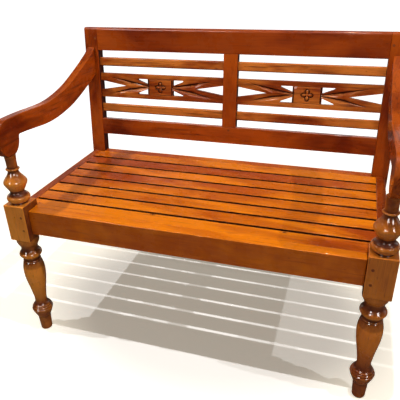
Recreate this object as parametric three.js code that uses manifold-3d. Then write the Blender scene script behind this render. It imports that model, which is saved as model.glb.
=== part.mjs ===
// Deacons bench: a two-seat hardwood bench with turned front legs, sawn arms and an open slatted back.
// Millimetres. X runs along the bench, +Y to the back, +Z up.
// The origin is on the floor, at the middle of the bench's outline.
import * as THREE from 'three';
import { mergeVertices } from 'three/addons/utils/BufferGeometryUtils.js';
import Module from 'manifold-3d';

const wasm = await Module();
wasm.setup();

// Overall sizes
const benchWidth = 1080;
const seatHeight = 457;
const legToPost = 490;
const rakeAngle = THREE.MathUtils.degToRad(5.8);

// Clearances and finish
const jointGap = 0.3;
const pegClearance = 0.2;
const overrun = 2;
const arrisRadius = 2.5;
const roundSteps = 3;

// Front leg block
const blockWidth = 68;
const blockDepth = 68;
const blockHeight = 118;
const blockProud = 20;
const blockChamfer = 2.5;

// Front leg, turned from the floor up: the height of each step and its radius
const footRadius = 18;
const footRound = 6;
const roundedShare = 1 - Math.SQRT1_2;
const footHeight = 57;
const footTopRadius = 20.4;
const ringSwell = 30.5;
const ringFootRadius = 21.5;
const ringRadius = 33;
const ringShoulder = 4.5;
const ringGroove = 30.8;
const middleBeadHeight = 6.5;
const middleBeadRadius = 31;
const middleBeadGroove = 28;
const ankleBeadHeight = 5.5;
const ankleBeadRadius = 27.6;
const ankleBeadGroove = 24.5;
const ankleCove = 13;
const ankleFillet = 2;
const ankleRadius = 18.8;

// Front leg, turned from the block down: the height of each step and its radius; the baluster takes the rest
const capHeight = 9;
const capRadius = 33.9;
const capOgee = 27;
const neckHeight = 4;
const neckRadius = 25;
const collarHeight = 36;
const collarRadius = 34;
const throatHeight = 3;
const throatRadius = 24.5;
const throatBeadHeight = 5;
const throatBeadRadius = 27;
const throatGroove = 25.3;
const balusterShoulder = 41;
const balusterRadius = 33;

// Front leg, turned from the block up: the height of each step and its radius; the column takes the rest
const seatingRadius = 24.5;
const seatingHeight = 5;
const upperRingHeight = 21;
const upperRingRadius = 33.2;
const upperRingFootRadius = 23.5;
const upperRingTopRadius = 25;
const spoolFootRadius = 27;
const spoolHeight = 13;
const spoolRadius = 20;
const spoolNeck = 2;
const bulbFootRadius = 22.3;
const bulbSwell = 23.5;
const bulbRadius = 33.3;
const bulbShoulder = 31.5;
const bulbNeckHeight = 7;
const bulbNeckRadius = 15.3;
const thinCollarHeight = 6;
const thinCollarRadius = 19.5;
const columnRadius = 15;
const columnTopRadius = 16.5;
const columnFlareShare = 0.45;

// A turned stretch runs from one height and radius to the next: shares of the climb and of the radius change
const ringSwellShares = [[0, 0], [0.33, 0.39], [0.72, 0.79], [1, 1]];
const ringShoulderShares = [[0.5, 0.25], [1, 1]];
const ankleCoveShares = [[0, 0], [0.2, 0.32], [0.52, 0.72], [1, 1]];
const balusterShares = [[0, 0], [0.1, 0.014], [0.374, 0.31], [0.58, 0.6], [0.79, 0.88], [1, 1]];
const balusterShoulderShares = [[0.39, 0.093], [0.585, 0.267], [0.78, 0.48], [0.92, 0.72], [1, 1]];
const spoolShares = [[0, 0], [0.25, 0.5], [0.55, 0.86], [1, 1]];
const bulbShares = [[0, 0], [0.37, 0.407], [0.7, 0.79], [1, 1]];
const bulbShoulderShares = [[0.19, 0.084], [0.444, 0.37], [0.62, 0.612], [0.81, 0.826], [1, 1]];

// How finely turnings are divided
const turningSides = 28;
const smallBeadSteps = 4;
const ringSteps = 8;
const ogeeSteps = 7;
const stepsBetween = 2;

// Arm
const armThickness = 27;
const armShift = 2;
const armRise = 163;
const armFlatLift = 3;
const armDip = 6;
const armClimb = 109;
const armDepth = 53;
const armDepthAtPost = 76;
const knuckleHalfWidth = 43;
const knuckleFall = 50;
const knuckleCrown = 56;
const armArris = 3;
const armSteps = 34;
const knuckleSteps = 9;
// The arm's top edge: shares of the run from leg to post, and of the rise from its low point to the post
const armTopShares = [
  [0.06, 0.055], [0.16, 0.042], [0.25, 0.018], [0.32, 0], [0.39, 0], [0.453, 0.028], [0.521, 0.083],
  [0.601, 0.17], [0.666, 0.27], [0.732, 0.39], [0.785, 0.495], [0.835, 0.596], [0.89, 0.716],
  [0.941, 0.835], [1, 1],
];
const armDeepensShare = 0.05;

// Seat frame
const railThickness = 32;
const railHeight = 78;
const railSetback = 18;
const railOffset = 16;
const sideRailThickness = 28;
const backRailLead = 8;

// Seat slats and what carries them
const slatCount = 8;
const slatThickness = 15;
const slatGap = 10.5;
const bearerWidth = 24;
const bearerHeight = 25;
const centreBearerWidth = 50;
const centreBearerHeight = 30;

// Back posts
const postWidth = 50;
const postInset = 8;
const postDepth = 36;
const footSweep = 28;
const postFootDepth = 34;
const straightFootShare = 0.35;
const sweepPower = 1.3;
const sweepSteps = 5;
const topRound = 9;

// Back, heights measured up the raked back from the seat
const lowerRailRise = 66;
const lowerRailHeight = 57.5;
const lowerRailThickness = 24;
const backGap = 24;
const backSlatHeight = 30;
const backSlatThickness = 13;
const backSlatSetback = 10;
const backSlatRound = 4;
const splatHeight = 85;
const crestHeight = 76;
const crestThickness = 34;
const stileWidth = 48;
const stileThickness = 28;

// Carved splat
const carvedBlockWidth = 82;
const stripHeight = 16;
const strandShoulder = 8;
const windowInset = 6;
const windowLength = 38;
const windowFarHeight = 3.5;
const fanLength = 100;
const fanHeight = 34;
const grooveStart = 3;
const grooveStartRise = 1.5;
const grooveStartWidth = 6;
const grooveWide = 70;
const grooveWideRise = 12;
const grooveWidth = 11.5;
const grooveDepth = 6;
const grooveEnd = 142;
const grooveEndRise = 27.5;
const grooveEndWidth = 2.5;
const grooveEndDepth = 2;
const borderLineWidth = 2.4;
const borderLineDepth = 1.6;
const sideLineWidth = 5;
const sideLineDepth = 3.5;
const petalReach = 10.5;
const petalLength = 7.6;
const petalWidth = 5.6;
const petalHeight = 4.2;
const petalBed = 2.8;
const flowerDepth = 5;
const bossRadius = 4.5;
const petalCount = 4;
const petalSides = 12;
const petalRings = 8;

// Pegs
const pegRadius = 3.5;
const pegLength = 14;
const pegSides = 16;
const blockPegInset = 14;
const blockPegDrop = 36;
const blockPegSpacing = 43;
const postPegInset = 9;
const stilePegInset = 11;

// Places worked out from the sizes
const blockTop = seatHeight + blockProud;
const blockBottom = blockTop - blockHeight;
const legX = benchWidth / 2 - blockWidth / 2;
const postOuterX = benchWidth / 2 - postInset;
const postInnerX = postOuterX - postWidth;
const slatEndX = benchWidth / 2 - railOffset - sideRailThickness;
const backRows = 2 * (backGap + backSlatHeight + backGap) + splatHeight;
const backHeight = lowerRailRise + lowerRailHeight + backRows + crestHeight;
const backReach = (backHeight - topRound) * Math.sin(rakeAngle)
  + (postDepth - topRound) * Math.cos(rakeAngle) + topRound;
const overallDepth = knuckleHalfWidth + legToPost + backReach;
const legY = knuckleHalfWidth - overallDepth / 2;
const blockFrontY = legY - blockDepth / 2;
const blockBackY = legY + blockDepth / 2;
const postFrontY = legY + legToPost;
const railFrontY = blockFrontY + railSetback;
const railBackY = railFrontY + railThickness;
const railBottom = seatHeight - railHeight;
const slatBottom = seatHeight - slatThickness;
const slatsStartY = railBackY + jointGap;
const backRailFrontY = postFrontY - backRailLead;
const slatPitch = (backRailFrontY - jointGap - slatsStartY + slatGap) / slatCount;
const slatWidth = slatPitch - slatGap;
const armUnderside = seatHeight + armRise;
const knuckleCentre = armUnderside + knuckleFall;
const armLow = knuckleCentre + knuckleCrown - armDip;
const armHigh = armLow + armClimb;

// Turns a closed geometry into a solid for joining and cutting
function solid(geometry) {
  const bare = geometry.clone();
  bare.deleteAttribute('normal');
  bare.deleteAttribute('uv');
  const merged = mergeVertices(bare);
  const corner = merged.index.array;
  const kept = [];
  for (let i = 0; i < corner.length; i += 3) {
    const [a, b, c] = [corner[i], corner[i + 1], corner[i + 2]];
    if (a !== b && b !== c && c !== a) kept.push(a, b, c);
  }
  const vertProperties = new Float32Array(merged.attributes.position.array);
  return new wasm.Manifold(new wasm.Mesh({ numProp: 3, vertProperties, triVerts: new Uint32Array(kept) }));
}

// Turns a solid back into a geometry
function surface(body) {
  const mesh = body.getMesh();
  const geometry = new THREE.BufferGeometry();
  geometry.setAttribute('position', new THREE.BufferAttribute(new Float32Array(mesh.vertProperties), 3));
  geometry.setIndex(new THREE.BufferAttribute(new Uint32Array(mesh.triVerts), 1));
  geometry.computeVertexNormals();
  return geometry;
}

// Extrudes an outline drawn in Y and Z along X, from one X to the other
const acrossX = new THREE.Matrix4().makeBasis(
  new THREE.Vector3(0, 1, 0),
  new THREE.Vector3(0, 0, 1),
  new THREE.Vector3(1, 0, 0),
);
function alongX(outline, fromX, toX) {
  const geometry = new THREE.ExtrudeGeometry(outline, {
    depth: toX - fromX, bevelEnabled: false, curveSegments: roundSteps,
  });
  return geometry.applyMatrix4(acrossX).translate(fromX, 0, 0);
}

// Extrudes an outline drawn in X and Z along Y, front face at fromY
const acrossY = new THREE.Matrix4().makeBasis(
  new THREE.Vector3(1, 0, 0),
  new THREE.Vector3(0, 0, 1),
  new THREE.Vector3(0, -1, 0),
);
function alongY(outline, fromY, toY) {
  const geometry = new THREE.ExtrudeGeometry(outline, {
    depth: toY - fromY, bevelEnabled: false, curveSegments: roundSteps,
  });
  return geometry.applyMatrix4(acrossY).translate(0, toY, 0);
}

// A rectangle whose four corners each have a radius: low-low, high-low, high-high, low-high
function roundedOutline(a0, b0, a1, b1, radii) {
  const points = [];
  const corners = [[a0, b0, 1, 1], [a1, b0, -1, 1], [a1, b1, -1, -1], [a0, b1, 1, -1]];
  corners.forEach(([a, b, inA, inB], i) => {
    const radius = radii[i];
    const steps = radius ? roundSteps : 0;
    for (let k = 0; k <= steps; k += 1) {
      const angle = Math.PI + (Math.PI / 2) * (i + (steps ? k / steps : 0));
      const [ca, sa] = radius ? [Math.cos(angle), Math.sin(angle)] : [0, 0];
      points.push(new THREE.Vector2(a + radius * (inA + ca), b + radius * (inB + sa)));
    }
  });
  return new THREE.Shape(points);
}

function evenRound(radius) {
  return [radius, radius, radius, radius];
}

// A box given by its corners
function box(x0, y0, z0, x1, y1, z1) {
  const geometry = new THREE.BoxGeometry(x1 - x0, y1 - y0, z1 - z0);
  return geometry.translate((x0 + x1) / 2, (y0 + y1) / 2, (z0 + z1) / 2);
}

// A board along X with its four long edges rounded
function boardAlongX(x0, y0, z0, x1, y1, z1, radii) {
  return alongX(roundedOutline(y0, z0, y1, z1, radii), x0, x1);
}

// A round peg along Y, its front end at y0
function pegShape(x, y0, z, length, radius) {
  const geometry = new THREE.CylinderGeometry(radius, radius, length, pegSides);
  return geometry.translate(x, y0 + length / 2, z);
}

// The hole for a peg whose front end is flush at frontY
function pegHole(x, frontY, z) {
  return pegShape(x, frontY - overrun, z, pegLength + pegClearance + overrun, pegRadius + pegClearance);
}

function drill(body, x, frontY, z) {
  return body.subtract(solid(pegHole(x, frontY, z)));
}

// Colours of the lacquered hardwood
const seatWood = new THREE.MeshStandardMaterial({ color: 0xc8641a, roughness: 0.28, metalness: 0 });
const frameWood = new THREE.MeshStandardMaterial({ color: 0x8a3a12, roughness: 0.3, metalness: 0 });
const turnedWood = new THREE.MeshStandardMaterial({ color: 0x84441a, roughness: 0.26, metalness: 0 });
const pegWood = new THREE.MeshStandardMaterial({ color: 0x4a1c0a, roughness: 0.4, metalness: 0 });

const bench = new THREE.Group();
const back = new THREE.Group();
back.position.set(0, postFrontY, seatHeight);
back.rotation.x = -rakeAngle;
bench.add(back);

function piece(name, geometry, wood, parent = bench) {
  const mesh = new THREE.Mesh(geometry, wood.clone());
  mesh.name = name;
  parent.add(mesh);
  return mesh;
}

// Points of a turned stretch, from one radius and height to another
function stretch(r0, z0, r1, z1, shares) {
  return shares.map(([up, out]) => new THREE.Vector2(r0 + (r1 - r0) * out, z0 + (z1 - z0) * up));
}

// Smooth line through the points of one or more stretches
function smooth(...stretches) {
  const points = stretches.flat();
  return new THREE.SplineCurve(points).getPoints((points.length - 1) * stepsBetween);
}

// Half-round bead between two heights: from one radius out to the widest and back in to the next
function bead(r0, z0, widest, r1, z1, steps) {
  const points = [];
  for (let i = 1; i <= steps; i += 1) {
    const t = i / steps;
    const swell = Math.sqrt(1 - (2 * t - 1) ** 2);
    const base = r0 + (r1 - r0) * t;
    points.push(new THREE.Vector2(base + (widest - (r0 + r1) / 2) * swell, z0 + (z1 - z0) * t));
  }
  return points;
}

// Ogee between two heights: it leaves the one radius and reaches the other upright
function ogee(r0, z0, r1, z1) {
  return Array.from({ length: ogeeSteps + 1 }, (_, i) => {
    const t = i / ogeeSteps;
    return new THREE.Vector2(r0 + (r1 - r0) * (1 - Math.cos(Math.PI * t)) / 2, z0 + (z1 - z0) * t);
  });
}

function at(radius, height) {
  return new THREE.Vector2(radius, height);
}

function turned(points) {
  return solid(new THREE.LatheGeometry(points, turningSides).rotateX(Math.PI / 2));
}

// Turned front leg below the block: foot, ringed ankle, baluster, collar and cap
const footInset = footRound * roundedShare;
const ringWidest = footHeight + ringSwell;
const ringTop = ringWidest + ringShoulder;
const middleBeadTop = ringTop + middleBeadHeight;
const ankleBeadTop = middleBeadTop + ankleBeadHeight;
const coveTop = ankleBeadTop + ankleCove;
const ankleTop = coveTop + ankleFillet;
const capBottom = blockBottom - capHeight;
const neckTop = capBottom - capOgee;
const collarTop = neckTop - neckHeight;
const collarMiddle = collarTop - collarHeight / 2;
const collarBottom = collarTop - collarHeight;
const throatBottom = collarBottom - throatHeight;
const throatBeadBottom = throatBottom - throatBeadHeight;
const balusterWidest = throatBeadBottom - balusterShoulder;
const lowerTurning = [
  at(0, 0),
  at(footRadius - footRound, 0),
  at(footRadius - footInset, footInset),
  at(footRadius, footRound),
  at(footTopRadius, footHeight),
  ...smooth(
    stretch(ringFootRadius, footHeight, ringRadius, ringWidest, ringSwellShares),
    stretch(ringRadius, ringWidest, ringGroove, ringTop, ringShoulderShares),
  ),
  ...bead(ringGroove, ringTop, middleBeadRadius, middleBeadGroove, middleBeadTop, smallBeadSteps),
  ...bead(middleBeadGroove, middleBeadTop, ankleBeadRadius, ankleBeadGroove, ankleBeadTop, smallBeadSteps),
  ...smooth(stretch(ankleBeadGroove, ankleBeadTop, ankleRadius, coveTop, ankleCoveShares)).slice(1),
  ...smooth(
    stretch(ankleRadius, ankleTop, balusterRadius, balusterWidest, balusterShares),
    stretch(balusterRadius, balusterWidest, throatGroove, throatBeadBottom, balusterShoulderShares),
  ),
  ...bead(throatGroove, throatBeadBottom, throatBeadRadius, throatRadius, throatBottom, smallBeadSteps),
  ...ogee(throatRadius, collarBottom, collarRadius, collarMiddle),
  ...ogee(collarRadius, collarMiddle, neckRadius, collarTop).slice(1),
  ...ogee(neckRadius, neckTop, capRadius, capBottom),
  at(capRadius, blockBottom),
  at(capRadius - overrun, blockBottom + overrun),
  at(0, blockBottom + overrun),
];

// Turned front leg above the block, its heights from the block's top: ring, spool, bulb, thin collar, column
const upperRingTop = seatingHeight + upperRingHeight;
const spoolTop = upperRingTop + spoolHeight;
const bulbBottom = spoolTop + spoolNeck;
const bulbWidest = bulbBottom + bulbSwell;
const bulbTop = bulbWidest + bulbShoulder;
const thinCollarBottom = bulbTop + bulbNeckHeight;
const thinCollarTop = thinCollarBottom + thinCollarHeight;
const columnTop = armUnderside + armFlatLift - jointGap - blockTop;
const upperTurning = [
  at(0, -overrun),
  at(seatingRadius, -overrun),
  at(seatingRadius, seatingHeight),
  at(upperRingFootRadius, seatingHeight),
  ...bead(upperRingFootRadius, seatingHeight, upperRingRadius, upperRingTopRadius, upperRingTop, ringSteps),
  ...smooth(stretch(spoolFootRadius, upperRingTop, spoolRadius, spoolTop, spoolShares)),
  at(spoolRadius, bulbBottom),
  ...smooth(
    stretch(bulbFootRadius, bulbBottom, bulbRadius, bulbWidest, bulbShares),
    stretch(bulbRadius, bulbWidest, bulbNeckRadius, bulbTop, bulbShoulderShares),
  ),
  at(columnRadius, thinCollarBottom),
  ...bead(columnRadius, thinCollarBottom, thinCollarRadius, columnRadius, thinCollarTop, smallBeadSteps),
  at(columnRadius, columnTop - (columnTop - thinCollarTop) * columnFlareShare),
  at(columnTopRadius, columnTop),
  at(0, columnTop),
];

// Square block with its arrises taken off
function chamferedBlock() {
  const half = blockWidth / 2 - blockChamfer;
  const deep = blockDepth / 2 - blockChamfer;
  const outline = new THREE.Shape([
    new THREE.Vector2(-half, -deep), new THREE.Vector2(half, -deep),
    new THREE.Vector2(half, deep), new THREE.Vector2(-half, deep),
  ]);
  const geometry = new THREE.ExtrudeGeometry(outline, {
    depth: blockHeight - 2 * blockChamfer, bevelEnabled: true, bevelThickness: blockChamfer,
    bevelSize: blockChamfer, bevelSegments: 1,
  });
  return solid(geometry.translate(0, 0, blockBottom + blockChamfer));
}

const blockPegHeights = [blockTop - blockPegDrop, blockTop - blockPegDrop - blockPegSpacing];
for (const [side, sign] of [['left', -1], ['right', 1]]) {
  let leg = turned(lowerTurning).add(chamferedBlock()).add(turned(upperTurning).translate([0, 0, blockTop]));
  leg = leg.translate([sign * legX, legY, 0]);
  const pegX = sign * (legX - blockWidth / 2 + blockPegInset);
  for (const z of blockPegHeights) leg = drill(leg, pegX, blockFrontY, z);
  piece(`front_leg_${side}`, surface(leg), turnedWood);
  blockPegHeights.forEach((z, i) => {
    piece(`leg_peg_${side}_${i + 1}`, pegShape(pegX, blockFrontY, z, pegLength, pegRadius), pegWood);
  });
}

// Back posts: swept back below the seat, upright at the seat frame, raked above it
const sinRake = Math.sin(rakeAngle);
const cosRake = Math.cos(rakeAngle);
function raked(depth, height) {
  return new THREE.Vector2(
    postFrontY + height * sinRake + depth * cosRake,
    seatHeight + height * cosRake - depth * sinRake,
  );
}
const kneeDepth = postDepth / cosRake;
function postOutline() {
  const sweptAt = (z) => postFrontY + footSweep * (1 - z / railBottom) ** sweepPower;
  const depthAt = (z) => postFootDepth + (kneeDepth - postFootDepth) * (z / railBottom);
  const heights = [0];
  for (let i = 0; i <= sweepSteps; i += 1) {
    heights.push(railBottom * (straightFootShare + (1 - straightFootShare) * (i / sweepSteps)));
  }
  const points = heights.map((z) => new THREE.Vector2(sweptAt(z) + depthAt(z), z));
  points.push(raked(postDepth, 0));
  const topStart = backHeight - topRound;
  for (let i = 0; i <= roundSteps; i += 1) {
    const a = (Math.PI / 2) * (i / roundSteps);
    points.push(raked(postDepth - topRound + topRound * Math.cos(a), topStart + topRound * Math.sin(a)));
  }
  for (let i = 0; i <= roundSteps; i += 1) {
    const a = (Math.PI / 2) * (i / roundSteps);
    points.push(raked(topRound - topRound * Math.sin(a), topStart + topRound * Math.cos(a)));
  }
  points.push(raked(0, 0));
  points.push(...heights.reverse().map((z) => new THREE.Vector2(sweptAt(z), z)));
  return new THREE.Shape(points);
}

// Pieces of the back, drawn upright in the raked group: Y back from the posts' front, Z up from the seat
const crestBottom = backHeight - crestHeight;
const lowerRailTop = lowerRailRise + lowerRailHeight;
const halfStile = stileWidth / 2;
const backSpan = postInnerX - jointGap;
const crestPegHeight = crestBottom + crestHeight / 2;

for (const [side, sign] of [['left', -1], ['right', 1]]) {
  const x0 = Math.min(sign * postInnerX, sign * postOuterX);
  const upright = solid(alongX(postOutline(), x0, x0 + postWidth));
  const pegX = sign * (postInnerX + postPegInset);
  back.updateMatrix();
  const hole = pegHole(pegX, 0, crestPegHeight).applyMatrix4(back.matrix);
  piece(`back_post_${side}`, surface(upright.subtract(solid(hole))), frameWood);
  piece(`post_peg_${side}`, pegShape(pegX, 0, crestPegHeight, pegLength, pegRadius), pegWood, back);
}

const crest = solid(boardAlongX(-backSpan, 0, crestBottom, backSpan, crestThickness, backHeight,
  [arrisRadius, arrisRadius, topRound, topRound]));
const crestPegZ = crestBottom + stilePegInset;
piece('crest_rail', surface(drill(crest, 0, 0, crestPegZ)), frameWood, back);
piece('crest_peg', pegShape(0, 0, crestPegZ, pegLength, pegRadius), pegWood, back);

const lowerRail = solid(boardAlongX(-backSpan, 0, lowerRailRise, backSpan, lowerRailThickness, lowerRailTop,
  evenRound(arrisRadius)));
const lowerPegZ = lowerRailTop - stilePegInset;
piece('lower_back_rail', surface(drill(lowerRail, 0, 0, lowerPegZ)), frameWood, back);
piece('lower_rail_peg', pegShape(0, 0, lowerPegZ, pegLength, pegRadius), pegWood, back);

const stile = box(-halfStile, 0, lowerRailTop + jointGap, halfStile, stileThickness, crestBottom - jointGap);
piece('centre_stile', stile, frameWood, back);

const lowerSlatBottom = lowerRailTop + backGap;
const splatBottom = lowerSlatBottom + backSlatHeight + backGap;
const splatTop = splatBottom + splatHeight;
const upperSlatBottom = splatTop + backGap;
const panelInner = halfStile + jointGap;
const panelOuter = postInnerX - jointGap;
const backSlatBack = backSlatSetback + backSlatThickness;

// Tapering V-shaped cut into the front face, between two places along the board
function veeCut(x0, z0, width0, depth0, x1, z1, width1, depth1) {
  const run = new THREE.Vector2(x1 - x0, z1 - z0).normalize();
  const across = new THREE.Vector2(-run.y, run.x);
  const corners = [];
  for (const [x, z, width, depth] of [[x0, z0, width0, depth0], [x1, z1, width1, depth1]]) {
    const wide = (width / 2) * (1 + overrun / depth);
    corners.push(x + across.x * wide, backSlatSetback - overrun, z + across.y * wide);
    corners.push(x - across.x * wide, backSlatSetback - overrun, z - across.y * wide);
    corners.push(x, backSlatSetback + depth, z);
  }
  const geometry = new THREE.BufferGeometry();
  geometry.setAttribute('position', new THREE.BufferAttribute(new Float32Array(corners), 3));
  geometry.setIndex([0, 2, 1, 3, 4, 5, 0, 4, 3, 0, 1, 4, 1, 5, 4, 1, 2, 5, 2, 3, 5, 2, 0, 3]);
  return solid(geometry);
}

// Pierced and carved board between post and stile: square block with a flower, nested V strands to each end
function carvedSplat(x0, x1) {
  const midX = (x0 + x1) / 2;
  const midZ = (splatBottom + splatTop) / 2;
  const halfHeight = splatHeight / 2;
  const halfBlock = carvedBlockWidth / 2;
  const windowTop = halfHeight - stripHeight;
  const arrowEnd = (x1 - x0) / 2 - halfBlock;
  const windowEnd = windowInset + windowLength;
  let board = solid(box(x0, backSlatSetback, splatBottom, x1, backSlatBack, splatTop));
  const pierce = (points) => {
    const through = alongY(new THREE.Shape(points), backSlatSetback - overrun, backSlatBack + overrun);
    board = board.subtract(solid(through));
  };
  for (const sideways of [-1, 1]) {
    const corner = (u, v) => new THREE.Vector2(midX + sideways * (halfBlock + u), midZ + v);
    for (const upward of [-1, 1]) {
      pierce([
        corner(windowInset, upward * windowTop), corner(windowEnd, upward * windowTop),
        corner(windowEnd, upward * (windowTop - windowFarHeight)), corner(windowInset, upward * strandShoulder),
      ]);
    }
    const fanEdge = arrowEnd + overrun;
    pierce([corner(arrowEnd - fanLength, 0), corner(fanEdge, fanHeight / 2), corner(fanEdge, -fanHeight / 2)]);
  }
  for (const sideways of [-1, 1]) {
    const across = (u) => midX + sideways * (halfBlock + u);
    for (const upward of [-1, 1]) {
      board = board.subtract(veeCut(
        across(grooveStart), midZ + upward * grooveStartRise, grooveStartWidth, grooveDepth / 2,
        across(grooveWide), midZ + upward * grooveWideRise, grooveWidth, grooveDepth,
      ));
      board = board.subtract(veeCut(
        across(grooveWide), midZ + upward * grooveWideRise, grooveWidth, grooveDepth,
        across(grooveEnd), midZ + upward * grooveEndRise, grooveEndWidth, grooveEndDepth,
      ));
    }
  }
  for (const toward of [-1, 1]) {
    board = board.subtract(veeCut(
      midX - halfBlock, midZ + toward * windowTop, borderLineWidth, borderLineDepth,
      midX + halfBlock, midZ + toward * windowTop, borderLineWidth, borderLineDepth,
    ));
    const sideLine = midX + toward * (halfBlock + sideLineWidth / 2);
    board = board.subtract(veeCut(
      sideLine, midZ - windowTop, sideLineWidth, sideLineDepth,
      sideLine, midZ + windowTop, sideLineWidth, sideLineDepth,
    ));
  }
  return addFlower(board, midX, midZ);
}

// Sunk quatrefoil bed with raised petals and a round boss
function addFlower(board, midX, midZ) {
  let flower = board;
  const bedLength = petalLength + petalBed;
  const bedWidth = petalWidth + petalBed;
  for (let i = 0; i < petalCount; i += 1) {
    const angle = (i / petalCount) * Math.PI * 2;
    const x = midX + petalReach * Math.cos(angle);
    const z = midZ + petalReach * Math.sin(angle);
    const bed = new THREE.CylinderGeometry(1, 1, flowerDepth + overrun, petalSides)
      .scale(bedLength, 1, bedWidth).rotateY(-angle)
      .translate(x, backSlatSetback + (flowerDepth - overrun) / 2, z);
    flower = flower.subtract(solid(bed));
  }
  for (let i = 0; i < petalCount; i += 1) {
    const angle = (i / petalCount) * Math.PI * 2;
    const petal = new THREE.SphereGeometry(1, petalSides, petalRings)
      .scale(petalLength, petalHeight, petalWidth).rotateY(-angle)
      .translate(midX + petalReach * Math.cos(angle), backSlatSetback + flowerDepth,
        midZ + petalReach * Math.sin(angle));
    flower = flower.add(solid(petal));
  }
  const boss = new THREE.SphereGeometry(bossRadius, petalSides, petalRings)
    .translate(midX, backSlatSetback + flowerDepth, midZ);
  return flower.add(solid(boss));
}

for (const [side, sign] of [['left', -1], ['right', 1]]) {
  const x0 = Math.min(sign * panelInner, sign * panelOuter);
  const x1 = Math.max(sign * panelInner, sign * panelOuter);
  for (const [name, bottom] of [['lower_back_slat', lowerSlatBottom], ['upper_back_slat', upperSlatBottom]]) {
    const top = bottom + backSlatHeight;
    const slat = boardAlongX(x0, backSlatSetback, bottom, x1, backSlatBack, top, evenRound(backSlatRound));
    piece(`${name}_${side}`, slat, frameWood, back);
  }
  piece(`carved_splat_${side}`, surface(carvedSplat(x0, x1)), frameWood, back);
}

// Arms: sawn boards with a rounded knuckle over the column, swept up to the posts
function armOutline() {
  const postFaceAt = (z) => postFrontY + ((z - seatHeight) * sinRake) / cosRake - jointGap / cosRake;
  const runEnd = postFaceAt(armHigh);
  const run = runEnd - legY;
  const rise = armHigh - armLow;
  const edge = armTopShares.map(([along, up]) => new THREE.Vector2(legY + along * run, armLow + up * rise));
  const curve = new THREE.SplineCurve(edge);
  const top = curve.getPoints(armSteps);
  const under = [];
  for (let i = 0; i <= armSteps; i += 1) {
    const t = i / armSteps;
    const ahead = curve.getTangent(t);
    const along = (top[i].x - legY) / run;
    const extra = Math.max(0, (along - armDeepensShare) / (1 - armDeepensShare));
    const depth = armDepth + (armDepthAtPost - armDepth) * extra;
    const point = new THREE.Vector2(top[i].x + ahead.y * depth, top[i].y - ahead.x * depth);
    if (point.x < postFaceAt(point.y) - overrun && point.x > legY + knuckleHalfWidth) under.push(point);
  }
  // carry the underside straight on to the post's face
  const last = under[under.length - 1];
  const before = under[under.length - 2];
  const slope = (last.y - before.y) / (last.x - before.x);
  const tanRake = sinRake / cosRake;
  const reach = (postFaceAt(last.y) - last.x) / (1 - slope * tanRake);
  const corner = new THREE.Vector2(last.x + reach, last.y + reach * slope);
  const points = [...top];
  points.push(corner);
  points.push(...under.reverse());
  // the knuckle: an ellipse below, flat where the column meets it, then up round the nose to the top
  const round = (angle, height) => new THREE.Vector2(
    legY + knuckleHalfWidth * Math.cos(angle),
    knuckleCentre - height * Math.sin(angle),
  );
  const flatAngle = Math.asin((knuckleFall - armFlatLift) / knuckleFall);
  const steps = Array.from({ length: knuckleSteps + 1 }, (_, i) => i / knuckleSteps);
  points.push(...steps.map((t) => round(flatAngle * t, knuckleFall)));
  points.push(...steps.map((t) => round(Math.PI - flatAngle * (1 - t), knuckleFall)));
  points.push(...steps.slice(1, -1).map((t) => round(Math.PI + (Math.PI / 2) * t, knuckleCrown)));
  return new THREE.Shape(points.reverse());
}

const armCentreX = legX + armShift;
for (const [side, sign] of [['left', -1], ['right', 1]]) {
  const x0 = sign * armCentreX - armThickness / 2;
  const geometry = new THREE.ExtrudeGeometry(armOutline(), {
    depth: armThickness - 2 * armArris, bevelEnabled: true, bevelThickness: armArris, bevelSize: armArris,
    bevelOffset: -armArris, bevelSegments: 2,
  });
  const arm = solid(geometry.applyMatrix4(acrossX).translate(x0 + armArris, 0, 0));
  piece(`arm_${side}`, surface(arm), frameWood);
}

// Seat frame
const frontRailEnd = legX - blockWidth / 2 - jointGap;
const backRailEnd = postInnerX - jointGap;
const backRailBackY = backRailFrontY + railThickness;
for (const [name, end, y0, y1, radii] of [
  ['front_seat_rail', frontRailEnd, railFrontY, railBackY, [arrisRadius, arrisRadius, 0, arrisRadius]],
  ['back_seat_rail', backRailEnd, backRailFrontY, backRailBackY, [arrisRadius, arrisRadius, arrisRadius, 0]],
]) {
  piece(name, boardAlongX(-end, y0, railBottom, end, y1, seatHeight, radii), frameWood);
}

const bearerTop = slatBottom - jointGap;
const sideStartY = blockBackY + jointGap;
const bearerEndY = backRailFrontY - jointGap;
for (const [side, sign] of [['left', -1], ['right', 1]]) {
  const railX = sign * (slatEndX + sideRailThickness / 2);
  piece(`side_seat_rail_${side}`, box(railX - sideRailThickness / 2, sideStartY, railBottom,
    railX + sideRailThickness / 2, postFrontY - jointGap, seatHeight), frameWood);
  const bearerX = sign * (slatEndX - jointGap - bearerWidth / 2);
  piece(`slat_bearer_${side}`, box(bearerX - bearerWidth / 2, sideStartY, bearerTop - bearerHeight,
    bearerX + bearerWidth / 2, bearerEndY, bearerTop), frameWood);
}
const halfBearer = centreBearerWidth / 2;
const centreBearer = box(-halfBearer, railBackY + jointGap, bearerTop - centreBearerHeight,
  halfBearer, bearerEndY, bearerTop);
piece('centre_bearer', centreBearer, frameWood);

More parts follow.
